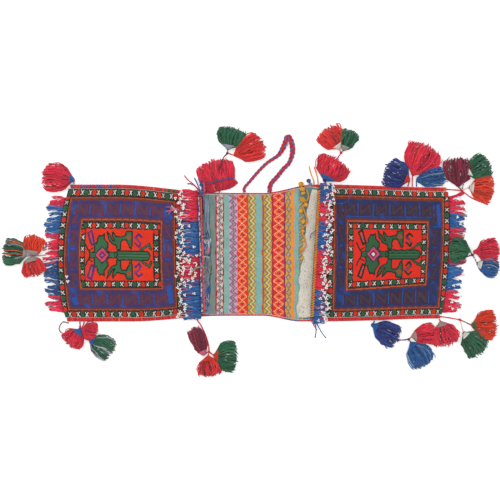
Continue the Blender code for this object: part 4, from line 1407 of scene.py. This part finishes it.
def makeBinding(name, edge, inward, bits):
    settings = {"pitch": 0.0031, "yarn": 0.0016, "perTurn": 8}
    first = float(outerEnd(-1, -inward)) + pouchCord / 2
    last = float(outerEnd(1, -inward)) - pouchCord / 2
    turns = (last - first) / settings["pitch"]
    xs = np.linspace(first, last, int(turns * settings["perTurn"]))
    wide = cordWidth(xs) / 2
    high = mix(0.0042, 0.0084, onPouch(xs)) / 2
    centres = np.stack([xs, edge(xs) + inward * wide, high + gap / 2], -1)
    points = wrapRoute(centres, wide, high, settings["pitch"], settings["yarn"])
    px = cellsLeft + xs / cell
    # every turn has its own shade, and some turns are of another yarn
    colour = np.repeat(dye["selvage"][None], len(xs), 0)
    which = (np.arange(len(xs)) / settings["perTurn"]).astype(int)
    for first, last, tint, chance in bits:
        chosen = rng.uniform(0, 1, int(turns) + 2) < chance
        colour[(px > first) & (px < last) & chosen[which]] = dye[tint]
    colour = colour * rng.normal(1, 0.14, int(turns) + 2)[which][:, None]
    yarnPiece(name, [(points, settings["yarn"], colour)], "edge_wool")


def mouthLine(side, diameter, step):
    v = np.linspace(-0.97, 0.97, int(0.38 / step))
    x = mouthAt(side, v) + side * (gap + diameter / 2)
    points = rowPoint(x, v, 0)
    points[:, 2] = faceTop(side, points[:, 0], points[:, 1]) + gap + diameter / 2
    return points


def makeMouths():
    # two cords side by side on top of the fringe's roots, one of them in dashes of several yarns
    settings = {"diameter": 0.0062, "pitch": 0.012, "dash": 7}
    line = mouthLine(-1, 0.008, 0.0008)
    dashes = np.array([dye["white"], dye["royal"], dye["pink"], dye["white"], dye["dustyBlue"], dye["royal"]])
    pieces = np.arange(len(line)) // settings["dash"]
    first = dashes[pieces % len(dashes)] * rng.normal(1, 0.12, (pieces[-1] + 1, 1))[pieces]
    strands = []
    for shift, colours in (
        (at(-0.0012, 0, 0.0035), (first, first[::-1] * 0.8)),
        (at(0.0050, 0, 0.0030), (dye["red"], dye["pink"])),
    ):
        strands += plied(line + shift, settings["diameter"], settings["pitch"], colours)
    yarnPiece("leftMouthBraid", strands, "red_yarn")

    settings = {"pitch": 0.0075, "wide": 0.0036, "high": 0.0014, "yarn": 0.0017}
    line = mouthLine(1, 0.0056, 0.0004)
    side, up, travelled = routeFrames(line)
    turn = 2 * math.pi * travelled / settings["pitch"]
    points = line + side * (np.cos(turn) * settings["wide"])[:, None] + up * (np.sin(turn) * settings["high"])[:, None]
    tint = np.where((np.sin(travelled * 170) > 0.1)[:, None], dye["yellow"], dye["apricot"])
    yarnPiece("rightMouthWhipping", [(points, settings["yarn"], tint)], "yellow_yarn")


def makeClosure():
    # the knotted loops that close the right mouth
    settings = {"larger": 1.45, "loose": 0.0015, "yarn": 0.0021, "under": 0.0075}
    strands = []
    for px, py, size, tint, bright in (
        *((px, py, size, "yellow", 1.1) for px, py, size in (
            (301, 184, 5.5), (302.5, 189, 5), (303, 193, 4), (303, 200, 5.5), (306, 205, 4.5), (301, 211, 4.5),
            (303.5, 222, 4), (302, 231, 3.2), (303, 240, 3.2), (301.5, 249, 3), (302.5, 258, 3))),
        (308, 181, 4.6, "purpleYarn", 1), (310, 185, 4, "dustyBlue", 1),
    ):
        for k in range(2):
            x, y = planeX(px) + rng.normal(0, settings["loose"]), planeY(py) + rng.normal(0, settings["loose"])
            spot = at(x, y, settings["under"] + 0.0015 * k)
            colour = dye[tint] * bright * rng.uniform(0.8, 1.1)
            strands.append(ball(spot, size * settings["larger"] * mm, colour, settings["yarn"]))
    for points, tint, size in (
        (((312, 317, 8), (314.5, 323, 6), (316, 330, 4), (315, 338, 3)), "royal", 0.0045),
        (((314, 319, 8), (318, 326, 6), (322, 333, 4), (326, 338, 3)), "royal", 0.0045),
        (((309, 317, 7), (312, 322, 5), (314, 326, 4), (317, 330, 3)), "pink", 0.004),
        (((310, 238, 8), (311, 234, 9), (313, 232.5, 9), (315, 231, 10)), "royal", 0.0024),
        (((335, 204, 21), (343, 203.5, 21.5), (349, 199, 21.5), (352, 191, 20)), "brightBlue", 0.0024),
    ):
        strands += twist([clothPoint(*p) for p in points], size, 0.011, (dye[tint], dye[tint] * 0.75))
    finishPiece(linkObject("closureKnots", yarnMesh("closureKnots", strands), yarnWool), "yellow_yarn")


def makeFlap():
    settings = {"rows": 22, "columns": 110, "thickness": 0.0016, "height": 0.0044}

    def place(u, v):
        width = np.interp(v, (-1, -0.4, 0.2, 0.8, 1), (0.042, 0.040, 0.033, 0.026, 0.017))
        width = width * (1 + 0.05 * np.sin(v * 13) + 0.04 * np.sin(v * 29 + 1))
        x = mouthAt(1, v) - 2 * gap - width * (1 - u)
        return rowPoint(x, 0.97 * v, settings["height"] + wobble(x, v * 0.3, 0.0002, 2))

    def paint(u, v, points):
        colour = np.empty((len(u), 3))
        colour[:] = dye["cream"]
        fleck = np.random.default_rng(7).uniform(0, 1, len(u))
        colour[fleck < 0.045] = mix(dye["cream"], dye["dustyBlue"], 0.8)
        colour[fleck > 0.93] = dye["cream"] * 0.82
        colour[u < 0.04] = dye["cream"] * 0.75
        return colour

    flap = clothPiece("creamMouthFlap", settings["rows"], settings["columns"], place, paint, settings["thickness"],
                      creamCloth)
    finishPiece(flap, "undyed_cotton", "cream_mouth_flap")


makeBinding("upperEdgeBinding", topEdge, -1, (
    (64, 448, "crimson", 0.25), (66, 115, "royal", 0.24), (66, 115, "purpleYarn", 0.14), (160, 200, "green", 0.3),
    (206, 224, "slateGreen", 0.7), (224, 232, "tealYarn", 0.8), (288, 305, "royal", 0.5), (64, 448, "apricot", 0.01)))
makeBinding("lowerEdgeBinding", bottomEdge, 1, (
    (64, 448, "crimson", 0.25), (205, 229, "royal", 0.6), (252, 256, "orange", 0.9), (285, 300, "royal", 0.7),
    (64, 448, "apricot", 0.01), (120, 190, "pink", 0.06)))
makeMouths()
makeFlap()
makeClosure()
print("edges bound")
